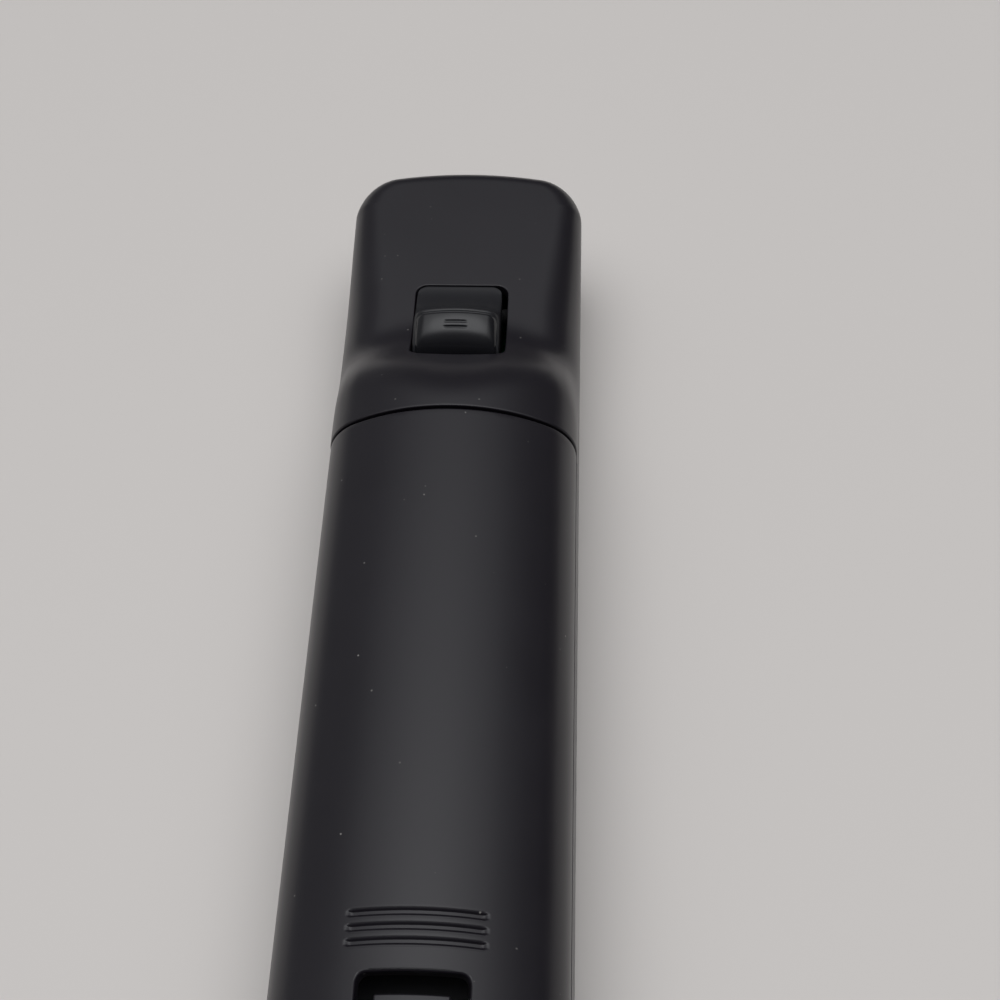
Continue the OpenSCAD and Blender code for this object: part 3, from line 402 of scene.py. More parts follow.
def sectionPoint(t, y, ease, spec):
    # the flat nose passes into the grip's arch as the back rises, later and more steeply at the sides
    start = spec.sideSlope + (spec.slope - spec.sideSlope) * smoothStep(*spec.slopeBlend, t)
    early = smoothStep(*spec.earlyRise, t) * (1 - smoothStep(*spec.earlyFall, t))
    end = spec.seam + spec.sideEarly * early
    rise = min(1.0, max(0.0, (start - y) / (start - end)))
    share = rise ** 3 * (10 - 15 * rise + 6 * rise * rise)
    return [a + (b - a) * share for a, b in zip(noseCurve(t, ease, spec), archCurve(t, spec))]


def sectionShare(x, y, ease, spec):
    # the share of the way at which a section reaches x, found by halving
    low, high = 0.0, 1.0
    for step in range(40):
        middle = (low + high) / 2
        if sectionPoint(middle, y, ease, spec)[0] > x:
            low = middle
        else:
            high = middle
    return low


def sectionHeight(x, y, spec):
    ease = sideEase(y, spec)
    return sectionPoint(sectionShare(abs(x), y, ease, spec), y, ease, spec)[1]


def makeWindowCutter(spec):
    skin = Skin()
    r, quarter = spec.windowRound, pi / 2
    side, low, high = spec.windowHalf - r, spec.windowLow + r, spec.windowHigh - r
    loop = []
    for i, (cx, cz) in enumerate(((side, high), (-side, high), (-side, low), (side, low))):
        loop += [(cx + r * cos(a), cz + r * sin(a)) for a in spread(i * quarter, (i + 1) * quarter, 8)]
    skin.tube([skin.row([(x, y, z) for x, z in loop]) for y in (spec.windowDepth, spec.windowEnd)])
    return buildObject("window_cutter", skin, [shellPlastic])


def makeNoseShell(spec):
    skin = Skin()
    holeHalf, holeBack, holeFront = spec.openingHalf, spec.openingBack, spec.openingFront
    patchHalf = holeHalf + spec.margin
    patchBack, patchFront = holeBack - spec.margin, holeFront + spec.margin
    reach, bend = spec.half - spec.corner, spec.bow - spec.corner
    meet = acos(reach / bend)
    cornerY = spec.tip - spec.bow + bend * sin(meet)
    straight = [spec.seam]
    for end, count in ((spec.seam + spec.seamRows, 6), (patchBack, 24), (patchBack + spec.fineRows, 6),
                       (patchFront - spec.fineRows, 14), (patchFront, 6), (cornerY, 10)):
        straight += spread(straight[-1], end, count)[1:-1] + [end]

    def profile(y, frontShare):
        # inset from the plan's outline, and height, from the split line up to the flat of the back
        ease = sideEase(y, spec) + (spec.frontRound - spec.sideRound) * frontShare
        last = sectionShare(spec.flatHalf, y, ease, spec)
        edge, base = sectionPoint(0, y, ease, spec)
        shelf = spec.half - edge
        # the wall leans in from the split line up to the foot of the section
        points = [(shelf * s, spec.split + (base - spec.split) * s) for s in spread(0, 0.98, 5)]
        for t in spread(0, last, 30):
            x, z = sectionPoint(t, y, ease, spec)
            points.append((spec.half - x, z))
        return points

    # stations round the plan's outline: place, outward direction and profile
    stations = [((spec.half, y), (1.0, 0.0), profile(y, 0.0)) for y in straight]
    for angle in spread(0, meet, 18)[1:]:
        n = (cos(angle), sin(angle))
        stations.append(((reach + spec.corner * n[0], cornerY + spec.corner * n[1]), n,
                         profile(spec.tip, smoothStep(spec.cornerFrom, meet, angle))))
    for angle in spread(meet, pi / 2, 10)[1:]:
        n = (cos(angle), sin(angle))
        stations.append(((spec.bow * n[0], spec.tip - spec.bow + spec.bow * n[1]), n,
                         profile(spec.tip, 1.0)))

    def column(station, side):
        (px, py), (nx, ny), points = station
        return skin.row([(side * (px - nx * d), py - ny * d, z) for d, z in points])

    right = [column(s, 1) for s in stations]
    left = [column(s, -1) for s in stations]
    skin.grid(right)
    skin.grid(left)

    # rows across the back, between the last points of the two sides
    across = spread(spec.flatHalf, patchHalf, spec.flatColumns)[1:]
    across += [patchHalf * sin(t) for t in spread(pi / 2, 0, 11)[1:]]
    across += [-x for x in reversed(across[:-1])]
    rows = []
    for i, y in enumerate(straight):
        middle = skin.row([(x, y, sectionHeight(x, y, spec)) for x in across])
        rows.append([right[i][-1]] + middle + [left[i][-1]])
    backRow, frontRow = straight.index(patchBack), straight.index(patchFront)
    first, last = spec.flatColumns, len(rows[0]) - 1 - spec.flatColumns
    skin.grid(rows, first, last, range(backRow, frontRow))

    # rings that close in on the trigger opening
    loop = [rows[i][first] for i in range(backRow, frontRow + 1)] + rows[frontRow][first + 1:last + 1]
    loop += [rows[i][last] for i in range(frontRow - 1, backRow - 1, -1)] + rows[backRow][last - 1:first:-1]
    outline = (holeHalf, holeBack, holeFront, spec.openingRound)
    skin.closeIn(skin.band, loop, spec.openingRings, outline, lambda x, y: sectionHeight(x, y, spec))

    # the flat in front of the straight sides, and the wall under the seam
    count = len(straight)
    skin.cap(rows[-1] + [c[-1] for c in left[count:]] + [c[-1] for c in reversed(right[count:-1])])
    skin.cap(right[0] + rows[0][1:-1] + list(reversed(left[0])))
    obj = buildObject("nose_shell", skin, [shellPlastic])
    thicken(obj, spec.wall)
    changeBy(obj, makeWindowCutter(spec), "DIFFERENCE")

    def edgeShare(edge):
        # the seam's edge stays plain beside the rails, and the opening's is finer
        if onLevel(edge, 1, spec.seam) and all(v.co.z < spec.plainUnder * mm for v in edge.verts):
            return 0.0
        inOpening = all(abs(v.co.x) < patchHalf * mm and patchBack * mm < v.co.y < patchFront * mm
                        for v in edge.verts)
        return spec.openingEdge / spec.edge if inOpening else 1.0

    roundEdges(obj, spec.edge, share=edgeShare)
    return obj


settle(makeNoseShell(sized(noseShell)), "case", "rear_case")

# Ears under the nose shell that carry the trigger's pins
triggerEars = {
    "pivot": (45.0, 19.0), "hub": 2.6, "hole": 1.35, "inner": 7.0, "thick": 1.6, "edge": 0.2, "points": 48}


def makeEars(spec):
    skin = Skin()
    py, pz = spec.pivot
    for side in (1, -1):
        loops = []
        for x in (spec.inner, spec.inner + spec.thick):
            outer, hole = [], []
            for a in spread(0, 2 * pi, spec.points)[:-1]:
                c, s = cos(a), sin(a)
                reach = spec.hub / max(abs(c), s, 1e-6) if s > 0 else spec.hub
                outer.append((side * x, py + reach * c, pz + reach * s))
                hole.append((side * x, py + spec.hole * c, pz + spec.hole * s))
            loops += [skin.row(outer), skin.row(hole)]
        for a, b in ((0, 2), (1, 3), (0, 1), (2, 3)):
            skin.band(loops[a], loops[b])
    obj = buildObject("trigger_ears", skin, [shellPlastic])
    roundEdges(obj, spec.edge)
    return obj


settle(makeEars(sized(triggerEars)), "case", "rear_case")

# Rails beside the battery bay and the plate at the tail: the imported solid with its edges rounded
tailFrame = dict(noseShell, edge=0.3, rail=18.0, lean=0.4, railShare=0.35, railFrom=17.0)


def makeTailFrame(spec):
    obj = cleanCopy("tail_frame", "tail_rails")
    obj.data.materials.append(shellPlastic)
    # the side walls lean in up to the rails, as the nose shell's walls do
    for vertex in obj.data.vertices:
        rise = (vertex.co.z / mm - spec.split) / (spec.rail - spec.split)
        reach = (spec.half - spec.lean * min(1.0, rise)) * mm
        vertex.co.x = min(reach, max(-reach, vertex.co.x))

    def edgeShare(edge):
        if onLevel(edge, 1, spec.seam):
            return 0.0
        outside = all(abs(v.co.x) > spec.railFrom * mm for v in edge.verts)
        return spec.railShare if outside and onLevel(edge, 2, spec.rail) else 1.0

    roundEdges(obj, spec.edge, share=edgeShare)
    return obj


settle(makeTailFrame(sized(tailFrame)), "case", "tail_frame")

# Battery cover: an arched shell with three thumb grooves and a notch for the latch tab
coverShell = dict(
    noseShell, archHalf=17.6, bottom=18.1, footHigh=0.9, front=17.06, rear=-71.65, wall=1.6, edge=0.34,
    notch=(6.5, -64.0, 1.2), notchRings=(0.5, 0.85, 1.0), notchRows=2.0, nearRows=(0.8, 1.6), margin=1.2,
    pastRear=40.0, frontRow=1.0, crownColumns=(
        13, 12, 11, 10, 9.2, 8.7, 8.4, 8.2, 8.0, 7.85, 7.4, 7.0, 6.5, 5.8, 5.0, 4.2, 3.4, 2.6, 1.8, 0.9, 0),
    grooveMiddle=-58.7, groovePitch=1.75, grooveLength=16.0, grooveWidth=0.7, grooveDepth=0.35,
    grooveClear=1.5, grooveRim=(0.16, 0.1), grooveEnd=(0.4, 0.2),
    grooveRows=(0.08, 0.18, 0.26, 0.34, 0.43, 0.56))


def makeCover(spec):
    skin = Skin()
    crown, shoulder = spec.crown, spec.shoulder
    notchHalf, notchFront, notchRound = spec.notch
    patchHalf, patchFront = notchHalf + spec.margin, notchFront + spec.margin
    low, reach = spec.back - crown, spec.archHalf - shoulder
    meet = atan2(sqrt((crown - shoulder) ** 2 - reach ** 2), reach)
    height = low + (crown - shoulder) * sin(meet)

    def crownHeight(x, y=0):
        return low + sqrt(crown ** 2 - x * x)

    # columns from the right foot to the left: x, z and normal
    across = [(spec.archHalf, z, 1.0, 0.0) for z in (spec.bottom, spec.bottom + spec.footHigh)]
    for angle in spread(0, meet, 18):
        n = (cos(angle), sin(angle))
        across.append((reach + shoulder * n[0], height + shoulder * n[1]) + n)
    for x in sorted(spec.crownColumns + (patchHalf,), reverse=True):
        across.append((x, crownHeight(x), x / crown, sqrt(1 - (x / crown) ** 2)))
    across += [(-x, z, -nx, nz) for x, z, nx, nz in reversed(across[:-1])]
    grooves = [spec.grooveMiddle + i * spec.groovePitch for i in (-1, 0, 1)]
    fine = notchFront - spec.notchRows
    along = spread(spec.rear, fine, 5) + spread(fine, patchFront, 10)[1:]
    along += [patchFront + d for d in spec.nearRows]
    for y in grooves:
        along += [y - d for d in reversed(spec.grooveRows)] + [y + d for d in spec.grooveRows]
    along += spread(grooves[-1] + spec.grooveClear, spec.front - spec.frontRow, 20) + [spec.front]

    def sunk(x, y):
        half, end = spec.grooveWidth / 2, spec.grooveLength / 2
        inner, outer = spec.grooveRim
        share = max(1 - smoothStep(half - inner, half + outer, abs(y - g)) for g in grooves)
        inner, outer = spec.grooveEnd
        return spec.grooveDepth * share * (1 - smoothStep(end - inner, end + outer, abs(x)))

    rows = []
    for y in along:
        rows.append(skin.row([(x - nx * sunk(x, y), y, z - nz * sunk(x, y)) for x, z, nx, nz in across]))
    first = next(i for i, a in enumerate(across) if a[0] == patchHalf)
    last, top = len(across) - 1 - first, along.index(patchFront)
    skin.grid(rows, first, last, range(top))
    loop = [rows[i][first] for i in range(top + 1)] + rows[top][first + 1:last]
    loop += [rows[i][last] for i in range(top, -1, -1)]
    # the notch is open behind, so its outline runs on past the rear edge
    outline = (notchHalf, spec.rear - spec.pastRear, notchFront, notchRound)
    skin.closeIn(skin.strip, loop, spec.notchRings, outline, crownHeight)
    obj = buildObject("cover_shell", skin, [shellPlastic])
    thicken(obj, spec.wall)
    roundEdges(obj, spec.edge, 4)
    return obj


settle(makeCover(sized(coverShell)), "cover", "battery_cover")

# Lips inside the cover that stand behind the rails
coverLips = {
    "starts": (-48.7, 12.2), "length": 4.2, "inner": 15.0, "outer": 16.2, "bottom": 15.6, "top": 20.4,
    "edge": 0.25}


def makeCoverLips(spec):
    skin = Skin()
    inner, outer = spec.inner, spec.outer
    for y in spec.starts:
        for low, high in ((inner, outer), (-outer, -inner)):
            skin.box((low, y, spec.bottom), (high, y + spec.length, spec.top))
    obj = buildObject("cover_lips", skin, [shellPlastic])
    roundEdges(obj, spec.edge)
    return obj


settle(makeCoverLips(sized(coverLips)), "cover", "battery_cover")

# Trigger: a satin scoop in front, a ridge, and a polished convex face behind, with a groove inside its rim
triggerBlade = {
    "half": 6.45, "front": 47.66, "back": 32.6, "level": 22.9, "bottom": 17.3, "top": 27.7, "ridge": 38.7,
    "cornerRound": 1.9, "arch": 22.0, "edge": 0.22, "ease": 0.3, "aside": -0.35, "groove": 0.46,
    "grooveWidth": 0.2, "grooveDepth": 0.2, "gripMarks": (2.2, 3.1), "gripHalf": 1.6, "gripDepth": 0.15,
    "gripRim": (0.08, 0.26), "gripEnd": 0.15, "crownFrom": 3.2, "crown": 0.35, "crownBlend": 1.5,
    "frontRound": 1.7, "frontBlend": 3.2, "pivot": (45.0, 19.0), "pinRadius": 1.2, "pinStart": 0.8,
    "pinEnd": 8.55, "pinEase": 0.2, "post": (36.1, 15.7, 1.2), "postEase": 0.3, "pocket": (40.5, 18.3, 2.7),
    "overlap": 1.0}


def triggerProfile(spec):
    # from the bottom in front over the ridge to the bottom behind: y, z, normal, and way down the rear face
    edge, ease, level = spec.edge, spec.ease, spec.level
    line = [(spec.front, z, 1.0, 0.0, None) for z in spread(spec.bottom, level - edge, 4)[:-1]]
    for a in spread(0, pi / 2, 5):
        n = (cos(a), sin(a))
        line.append((spec.front - edge + edge * n[0], level - edge + edge * n[1]) + n + (None,))
    start = spec.front - edge
    run, rise = start - spec.ridge - ease / 2, spec.top - level - ease / 2
    scoop = (run * run + rise * rise) / (2 * rise)
    for y in spread(start, start - run, 30)[1:]:
        tilt = asin((start - y) / scoop)
        line.append((y, level + scoop * (1 - cos(tilt)), sin(tilt), cos(tilt), None))
    tilt = acos(run / scoop)
    cy, cz = line[-1][0] - ease * cos(tilt), line[-1][1] - ease * sin(tilt)
    for a in spread(tilt, pi / 2, 8)[1:]:
        line.append((cy + ease * cos(a), cz + ease * sin(a), cos(a), sin(a), None))
    crestY, crest = line[-1][:2]
    fall, drop, below = crestY - spec.back, crest - level, 0.0
    for t in (spread(0, 0.14, 24) + spread(0.14, 0.5, 30)[1:] + spread(0.5, 1, 20)[1:])[1:]:
        a = t * pi / 2
        y, z = crestY - fall * sin(a), level + drop * cos(a)
        below += hypot(y - line[-1][0], z - line[-1][1])
        size = hypot(sin(a) / fall, cos(a) / drop)
        line.append((y, z, -sin(a) / fall / size, cos(a) / drop / size, below))
    line += [(spec.back, z, -1.0, 0.0, below + level - z) for z in spread(level, spec.bottom, 6)[1:]]
    return line, crest


def makeTrigger(spec):
    line, crest = triggerProfile(spec)
    half, edge, level, r = spec.half, spec.edge, spec.level, spec.cornerRound
    flat = half - r
    xs = spread(0, flat, 20) + [flat + r * sin(a) for a in spread(0, pi / 2, 36)[1:]]
    xs = [-x for x in reversed(xs[1:])] + xs

    def roundDrop(x, start, radius):
        # how far a round of this radius has fallen away past its start
        return radius - sqrt(max(0.0, radius ** 2 - max(0.0, abs(x) - start) ** 2))

    def inset(x, v):
        # how far a point of the rear face lies inside its outline, whose top corners are round
        past, below = max(0.0, abs(x) - flat), v + roundDrop(x, flat, r)
        if past > 0 and below < r:
            return r - hypot(past, r - below)
        return min(half - abs(x), below)

    def faceSunk(x, v):
        # the groove inside the rim, the fall to the sides and the grip marks
        sunk = spec.grooveDepth * exp(-((inset(x, v) - spec.groove) / spec.grooveWidth) ** 2)
        side = max(0.0, abs(x) - spec.crownFrom) / (half - spec.crownFrom)
        sunk += spec.crown * side * side * smoothStep(0, spec.crownBlend, v)
        ends = 1 - smoothStep(spec.gripHalf - spec.gripEnd, spec.gripHalf + spec.gripEnd, abs(x))
        return sunk + sum(spec.gripDepth * (1 - smoothStep(*spec.gripRim, abs(v - mark))) * ends
                          for mark in spec.gripMarks)

    def place(x, row):
        y, z, ny, nz, v = row
        sunk = roundDrop(x, half - edge, edge) + (0.0 if v is None else faceSunk(x, v))
        y, z = y - ny * sunk, z - nz * sunk
        ceiling = crest - x * x / (2 * spec.arch) - roundDrop(x, flat, r)
        if z > level:
            z = level + (z - level) * (ceiling - level) / (crest - level)
        drop = roundDrop(x, half - spec.frontRound, spec.frontRound)
        y -= drop * smoothStep(spec.front - spec.frontBlend, spec.front, y)
        return x + spec.aside, y, z

    skin = Skin()
    rows = [skin.row([place(x, row) for x in xs]) for row in line]
    for k, (a, b) in enumerate(zip(rows, rows[1:])):
        v = line[k][4]
        for i in range(len(xs) - 1):
            glossy = v is not None and inset((xs[i] + xs[i + 1]) / 2, v) > spec.groove
            skin.cap([a[i], a[i + 1], b[i + 1], b[i]], 1 if glossy else 0)
    skin.cap([row[0] for row in rows])
    skin.cap([row[-1] for row in rows])
    skin.cap(rows[0] + list(reversed(rows[-1])))
    # the pins' slot carries painted shade: a near-black colour that stands for the shade in the trigger's gap
    materials = [triggerPlastic, triggerGloss, pinShadedPlastic]
    obj = buildObject("trigger_blade", skin, materials)

    pins, pocket = Skin(), Skin()
    end, radius, pinEase = spec.pinEnd, spec.pinRadius, spec.pinEase
    for side in (1, -1):
        pin = [(radius, half - spec.pinStart), (radius, end - pinEase), (radius - pinEase, end)]
        pins.lathe([(r, side * x) for r, x in pin], (0, *spec.pivot), "x", 32, lambda i: 2)
    y, low, radius = spec.post
    ease, top = spec.postEase, spec.bottom + spec.overlap
    post = [(radius - ease, low), (radius, low + ease), (radius, top)]
    pins.lathe(post, (0, y, 0), "z", 32, lambda i: 2)
    changeBy(obj, buildObject("trigger_pins", pins, materials), "UNION")
    y, top, radius = spec.pocket
    pocket.lathe([(radius, spec.bottom - spec.overlap), (radius, top)], (0, y, 0))
    changeBy(obj, buildObject("trigger_pocket", pocket, [triggerPlastic]), "DIFFERENCE")
    shadeSmooth(obj, angle=50)
    return obj


settle(makeTrigger(sized(triggerBlade)), "trigger", "trigger")

# Metals: the tone drifts, and fine marks from drawing, stamping or tumbling break up the reflection
springSteel = {
    "colour": "b4b3b0", "worn": "98979a", "roughness": 0.3, "sheen": (-0.08, 0.12), "cloudMm": 4.0,
    "grainMm": (0.08, 0.08, 0.5), "relief": 0.3, "reliefMm": 0.004}


def metalMaterial(name, **change):
    spec = sized(springSteel, **change)
    material, tree, shader, coords = newMaterial(name, spec.roughness, 1.0)
    grain = addNode(tree, "ShaderNodeMapping", {
        "Scale": [1 / (g * mm) for g in spec.grainMm], "Vector": coords})
    marks = addNode(tree, "ShaderNodeTexNoise", {"Scale": 1.0, "Detail": 3.0, "Vector": grain})
    cloud = addNode(tree, "ShaderNodeTexNoise", {
        "Scale": 1 / (spec.cloudMm * mm), "Detail": 2.0, "Vector": coords})
    tone = addNode(tree, "ShaderNodeMix", {0: cloud, 6: spec.colour, 7: spec.worn}, data_type="RGBA")
    finishSurface(shader, spec, tone.outputs[2], marks, marks)
    return material


springWire = metalMaterial("spring_steel_drawn")
tinPlate = metalMaterial("tin_plated_steel", colour="cfcdc8", worn="b7b5b0", grainMm=(0.2, 3, 0.2))
motorCan = metalMaterial("nickel_plated_can", colour="c2bfb6", worn="aaa79f", grainMm=(2.5, 0.15, 0.15))
screwZinc = metalMaterial("zinc_plated_screw", colour="a9a8a2", worn="8b8a86", roughness=0.38)
tungsten = metalMaterial(
    "sintered_tungsten", colour="77757a", worn="605e62", roughness=0.52, grainMm=(0.15, 0.15, 0.15),
    reliefMm=0.012)
contactGold = metalMaterial("gold_flashed_brass", colour="d9b25c", worn="c49a45", roughness=0.26)

# Coloured, rubbery and fibrous pieces share the moulded surface, each with its own colour, gloss and grit
siliconePad = mouldedMaterial("silicone_keypad", colour="b8b8b3", worn="c6c6c1", roughness=0.5)
bootRubber = mouldedMaterial(
    "black_rubber", colour="17171a", worn="202023", roughness=0.78, gritMm=0.3, reliefMm=0.03)
syncRed = mouldedMaterial("red_abs", colour="a8241f", worn="b42c26", roughness=0.4)
powerRed = mouldedMaterial("dark_red_abs", colour="82191c", worn="8d2023", roughness=0.28)
chipEpoxy = mouldedMaterial("black_moulded_epoxy", colour="1d1d1f", worn="262628", roughness=0.6, gritMm=0.12)
speakerPaper = mouldedMaterial(
    "black_paper_cone", colour="1b1a19", worn="2b2a28", roughness=0.85, gritMm=0.35, reliefMm=0.06)
frameNylon = mouldedMaterial("grey_filled_nylon", colour="2c2c2e", worn="363638", roughness=0.6)

# Dark acrylic that only infrared passes, nearly black with a sharp reflection, and pale glossy epoxy
lensAcrylic = polishedMaterial("infrared_acrylic", colour="0b060b", roughness=0.12)
lightChip = polishedMaterial("clear_epoxy_chip", colour="cfd3c4")

# Clear polycarbonate light guides: a faint blue cast, and a frosted end that spreads the light
clearGuide = polishedMaterial("polycarbonate_guide", colour="c7d2da", roughness=0.3)
setInputs(clearGuide.node_tree.nodes["Principled BSDF"], {"Transmission Weight": 0.6})

# Green solder mask over copper: runs of fine tracks that turn from patch to patch, and small tinned pads
solderMask = {
    "bare": "12502f", "track": "1d6d42", "pad": "c9c7bd", "roughness": 0.34, "patchMm": 7.0, "mixing": 0.7,
    "trackMm": 0.9, "trackRim": (0.62, 0.74), "trackHeightMm": 0.03, "relief": 0.5, "padCellMm": 3.4,
    "padMm": 0.42, "padCore": 0.8}


def boardMaterial(name, spec):
    material, tree, shader, coords = newMaterial(name, spec.roughness)
    flat = addNode(tree, "ShaderNodeMapping", {"Scale": (1, 1, 0), "Vector": coords})
    patch = addNode(tree, "ShaderNodeTexVoronoi", {
        "Scale": 1 / (spec.patchMm * mm), "Randomness": spec.mixing, "Vector": flat}, distance="CHEBYCHEV")
    pick = addNode(tree, "ShaderNodeSeparateColor", {"Color": patch.outputs["Color"]})
    turned = addNode(tree, "ShaderNodeMath", {0: pick.outputs["Red"], 1: 0.5}, operation="GREATER_THAN")
    # one band of the wave texture is a twentieth of a full turn at scale one
    waves = {"Scale": 2 * pi / 20 / (spec.trackMm * mm), "Vector": flat}
    ways = [addNode(tree, "ShaderNodeTexWave", waves, bands_direction=way).outputs["Fac"] for way in "XY"]
    lines = addNode(tree, "ShaderNodeMix", {0: turned, 2: ways[0], 3: ways[1]}, data_type="FLOAT")
    low, high = spec.trackRim
    track = addNode(tree, "ShaderNodeMapRange", {"From Min": low, "From Max": high, "Value": lines})
    mask = addNode(tree, "ShaderNodeMix", {0: track, 6: spec.bare, 7: spec.track}, data_type="RGBA")
    cells = addNode(tree, "ShaderNodeTexVoronoi", {"Scale": 1 / (spec.padCellMm * mm), "Vector": flat})
    size = spec.padMm / spec.padCellMm
    pad = addNode(tree, "ShaderNodeMapRange", {
        "From Min": size, "From Max": spec.padCore * size, "Value": cells})
    colour = addNode(tree, "ShaderNodeMix", {0: pad, 6: mask.outputs[2], 7: spec.pad}, data_type="RGBA")
    bump = addNode(tree, "ShaderNodeBump", {
        "Strength": spec.relief, "Distance": spec.trackHeightMm * mm, "Height": track})
    setInputs(shader, {"Base Color": colour.outputs[2], "Metallic": pad, "Normal": bump})
    return material


greenBoard = boardMaterial("green_solder_mask", sized(solderMask))

# Shrink sleeve of a cell: a printed film in two plain colours, with a soft gloss and faint creases along it
cellSleeve = {
    "body": "39505c", "band": "b9bcb6", "bandMm": 9.0, "bandRimMm": 0.1, "roughness": 0.28,
    "sheen": (-0.08, 0.12), "creaseMm": (2.5, 14.0, 2.5), "relief": 0.3, "reliefMm": 0.05}


def sleeveMaterial(name, spec, positive, facing):
    material, tree, shader, coords = newMaterial(name, spec.roughness)
    along = addNode(tree, "ShaderNodeSeparateXYZ", {"Vector": coords}).outputs["Y"]
    edge = (positive - facing * spec.bandMm) * mm
    band = addNode(tree, "ShaderNodeMapRange", {
        "From Min": edge, "From Max": edge + facing * spec.bandRimMm * mm, "Value": along})
    film = addNode(tree, "ShaderNodeMix", {0: band, 6: spec.body, 7: spec.band}, data_type="RGBA")
    grain = addNode(tree, "ShaderNodeMapping", {
        "Scale": [1 / (c * mm) for c in spec.creaseMm], "Vector": coords})
    crease = addNode(tree, "ShaderNodeTexNoise", {"Scale": 1.0, "Detail": 3.0, "Vector": grain})
    finishSurface(shader, spec, film.outputs[2], crease, crease)
    return material


print("inner materials made")

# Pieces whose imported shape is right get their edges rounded: node, body, edge in mm, material, slot
softEdged = [
    ("front_case", "case", 0.3, shellPlastic, "shell"),
    ("cover_latch", "latch", 0.25, shellPlastic, "shell"),
    ("battery_tray", "case", 0.15, innerPlastic, "inner_plastic"),
    ("socket_housing", "case", 0.2, innerPlastic, "inner_plastic"),
    ("direction_cross", "cross", 0.4, buttonGloss, "dark_button"),
    ("main_button", "main_button", 0.3, buttonGloss, "main_button"),
    ("minus_button", "minus_button", 0.2, buttonGloss, "dark_button"),
    ("home_button", "home_button", 0.2, buttonGloss, "dark_button"),
    ("plus_button", "plus_button", 0.2, buttonGloss, "dark_button"),
    ("one_button", "one_button", 0.25, buttonGloss, "dark_button"),
    ("two_button", "two_button", 0.25, buttonGloss, "dark_button"),
    ("power_button", "power_button", 0.2, powerRed, "power_button"),
    ("sync_button", "sync_button", 0.2, syncRed, "sync_red"),
    ("camera_window", "case", 0.2, lensAcrylic, "window"),
    ("camera_module", "case", 0.25, frameNylon, "inner_plastic"),
    ("camera_lens", "case", 0.2, lensAcrylic, "window"),
    ("trigger_switch", "case", 0.12, chipEpoxy, "inner_plastic"),
    ("sync_switch", "case", 0.12, chipEpoxy, "inner_plastic"),
    ("board_chips", "case", 0.08, chipEpoxy, "inner_plastic"),
    ("radio_shield", "case", 0.25, tinPlate, "steel"),
    ("circuit_board", "case", 0.08, greenBoard, "board"),
    ("speaker_frame", "case", 0.15, frameNylon, "speaker_frame"),
    ("motor_boot", "case", 0.35, bootRubber, "boot_rubber"),
    ("rumble_weight", "rumble_rotor", 0.2, tungsten, "weight_metal"),
    ("rumble_shaft", "rumble_rotor", 0.1, springWire, "steel"),
    ("cross_pivot", "cross_gimbal", 0.05, springWire, "steel"),
    ("socket_contacts", "case", 0.06, contactGold, "contact_brass"),
    ("battery_plates", "case", 0.06, tinPlate, "steel"),
    ("player_lights", "case", 0.12, lightChip, "light"),
    ("light_guides", "case", 0.12, clearGuide, "light_guide"),
]
for node, body, edge, material, slot in softEdged:
    piece = cleanCopy(node, node + "_finished")
    piece.data.materials.append(material)
    roundEdges(piece, edge, angle=35)
    settle(piece, body, node)


def turnPiece(name, materials, profile, place, smooth, **turning):
    skin = Skin()
    skin.lathe(profile, place, **turning)
    obj = buildObject(name, skin, materials)
    shadeSmooth(obj, smooth)
    return obj


# Rumble motor: a drawn can with a bushing round the shaft and a stepped end cap
rumbleCan = {"place": (0, 25.0, 14.0), "axis": "x", "sides": 64, "smooth": 25, "profile": (
    (0.3, -12.5), (2.3, -12.5), (2.45, -12.35), (2.45, -12.1), (3.75, -12.1), (4.0, -12.0), (4.15, -11.85),
    (4.2, -11.6), (4.2, -9.0), (4.12, -8.92), (4.12, -8.68), (4.2, -8.6), (4.2, -1.3), (4.12, -1.05),
    (3.9, -0.9), (1.75, -0.9), (1.6, -0.85), (1.5, -0.5), (0.8, -0.5), (0.7, -0.6), (0.7, -4.4), (0.3, -4.4))}
piece = turnPiece("rumble_can", [motorCan], **rumbleCan)
settle(piece, "case", "rumble_motor")

# Speaker cone: a rolled surround, a shallow paper cone with ripples and a dust cap
speakerCone = {"centre": (0, -18.0, 0), "lip": 9.0, "level": 4.62, "roll": (7.75, 0.85, 0.5), "neck": 3.5,
               "neckLevel": 4.42, "ripple": 0.03, "ripples": 4, "cap": 0.36, "capTip": 0.05, "sheet": 0.24}


def makeCone(spec):
    middle, half, drop = spec.roll
    level, neck, neckLevel = spec.level, spec.neck, spec.neckLevel
    face = [(spec.lip, level)]
    face += [(middle + half * cos(a), level - drop * sin(a)) for a in spread(0, pi, 12)]
    for t in spread(0, 1, 8)[1:]:
        ripple = spec.ripple * cos(t * 2 * spec.ripples * pi) - spec.ripple
        face.append((middle - half + (neck - middle + half) * t, level + (neckLevel - level) * t + ripple))
    for a in spread(0, pi / 2, 9)[1:]:
        face.append((max(spec.capTip, neck * cos(a)), neckLevel - spec.cap * sin(a)))
    # the profile runs back to its start, so the sheet has no ends to close
    sheet = face + [(r, z + spec.sheet) for r, z in reversed(face)] + face[:1]
    return turnPiece(
        "speaker_cone_paper", [speakerPaper], sheet, spec.centre, smooth=40, sides=64, ends=False)


settle(makeCone(sized(speakerCone)), "case", "speaker_cone")

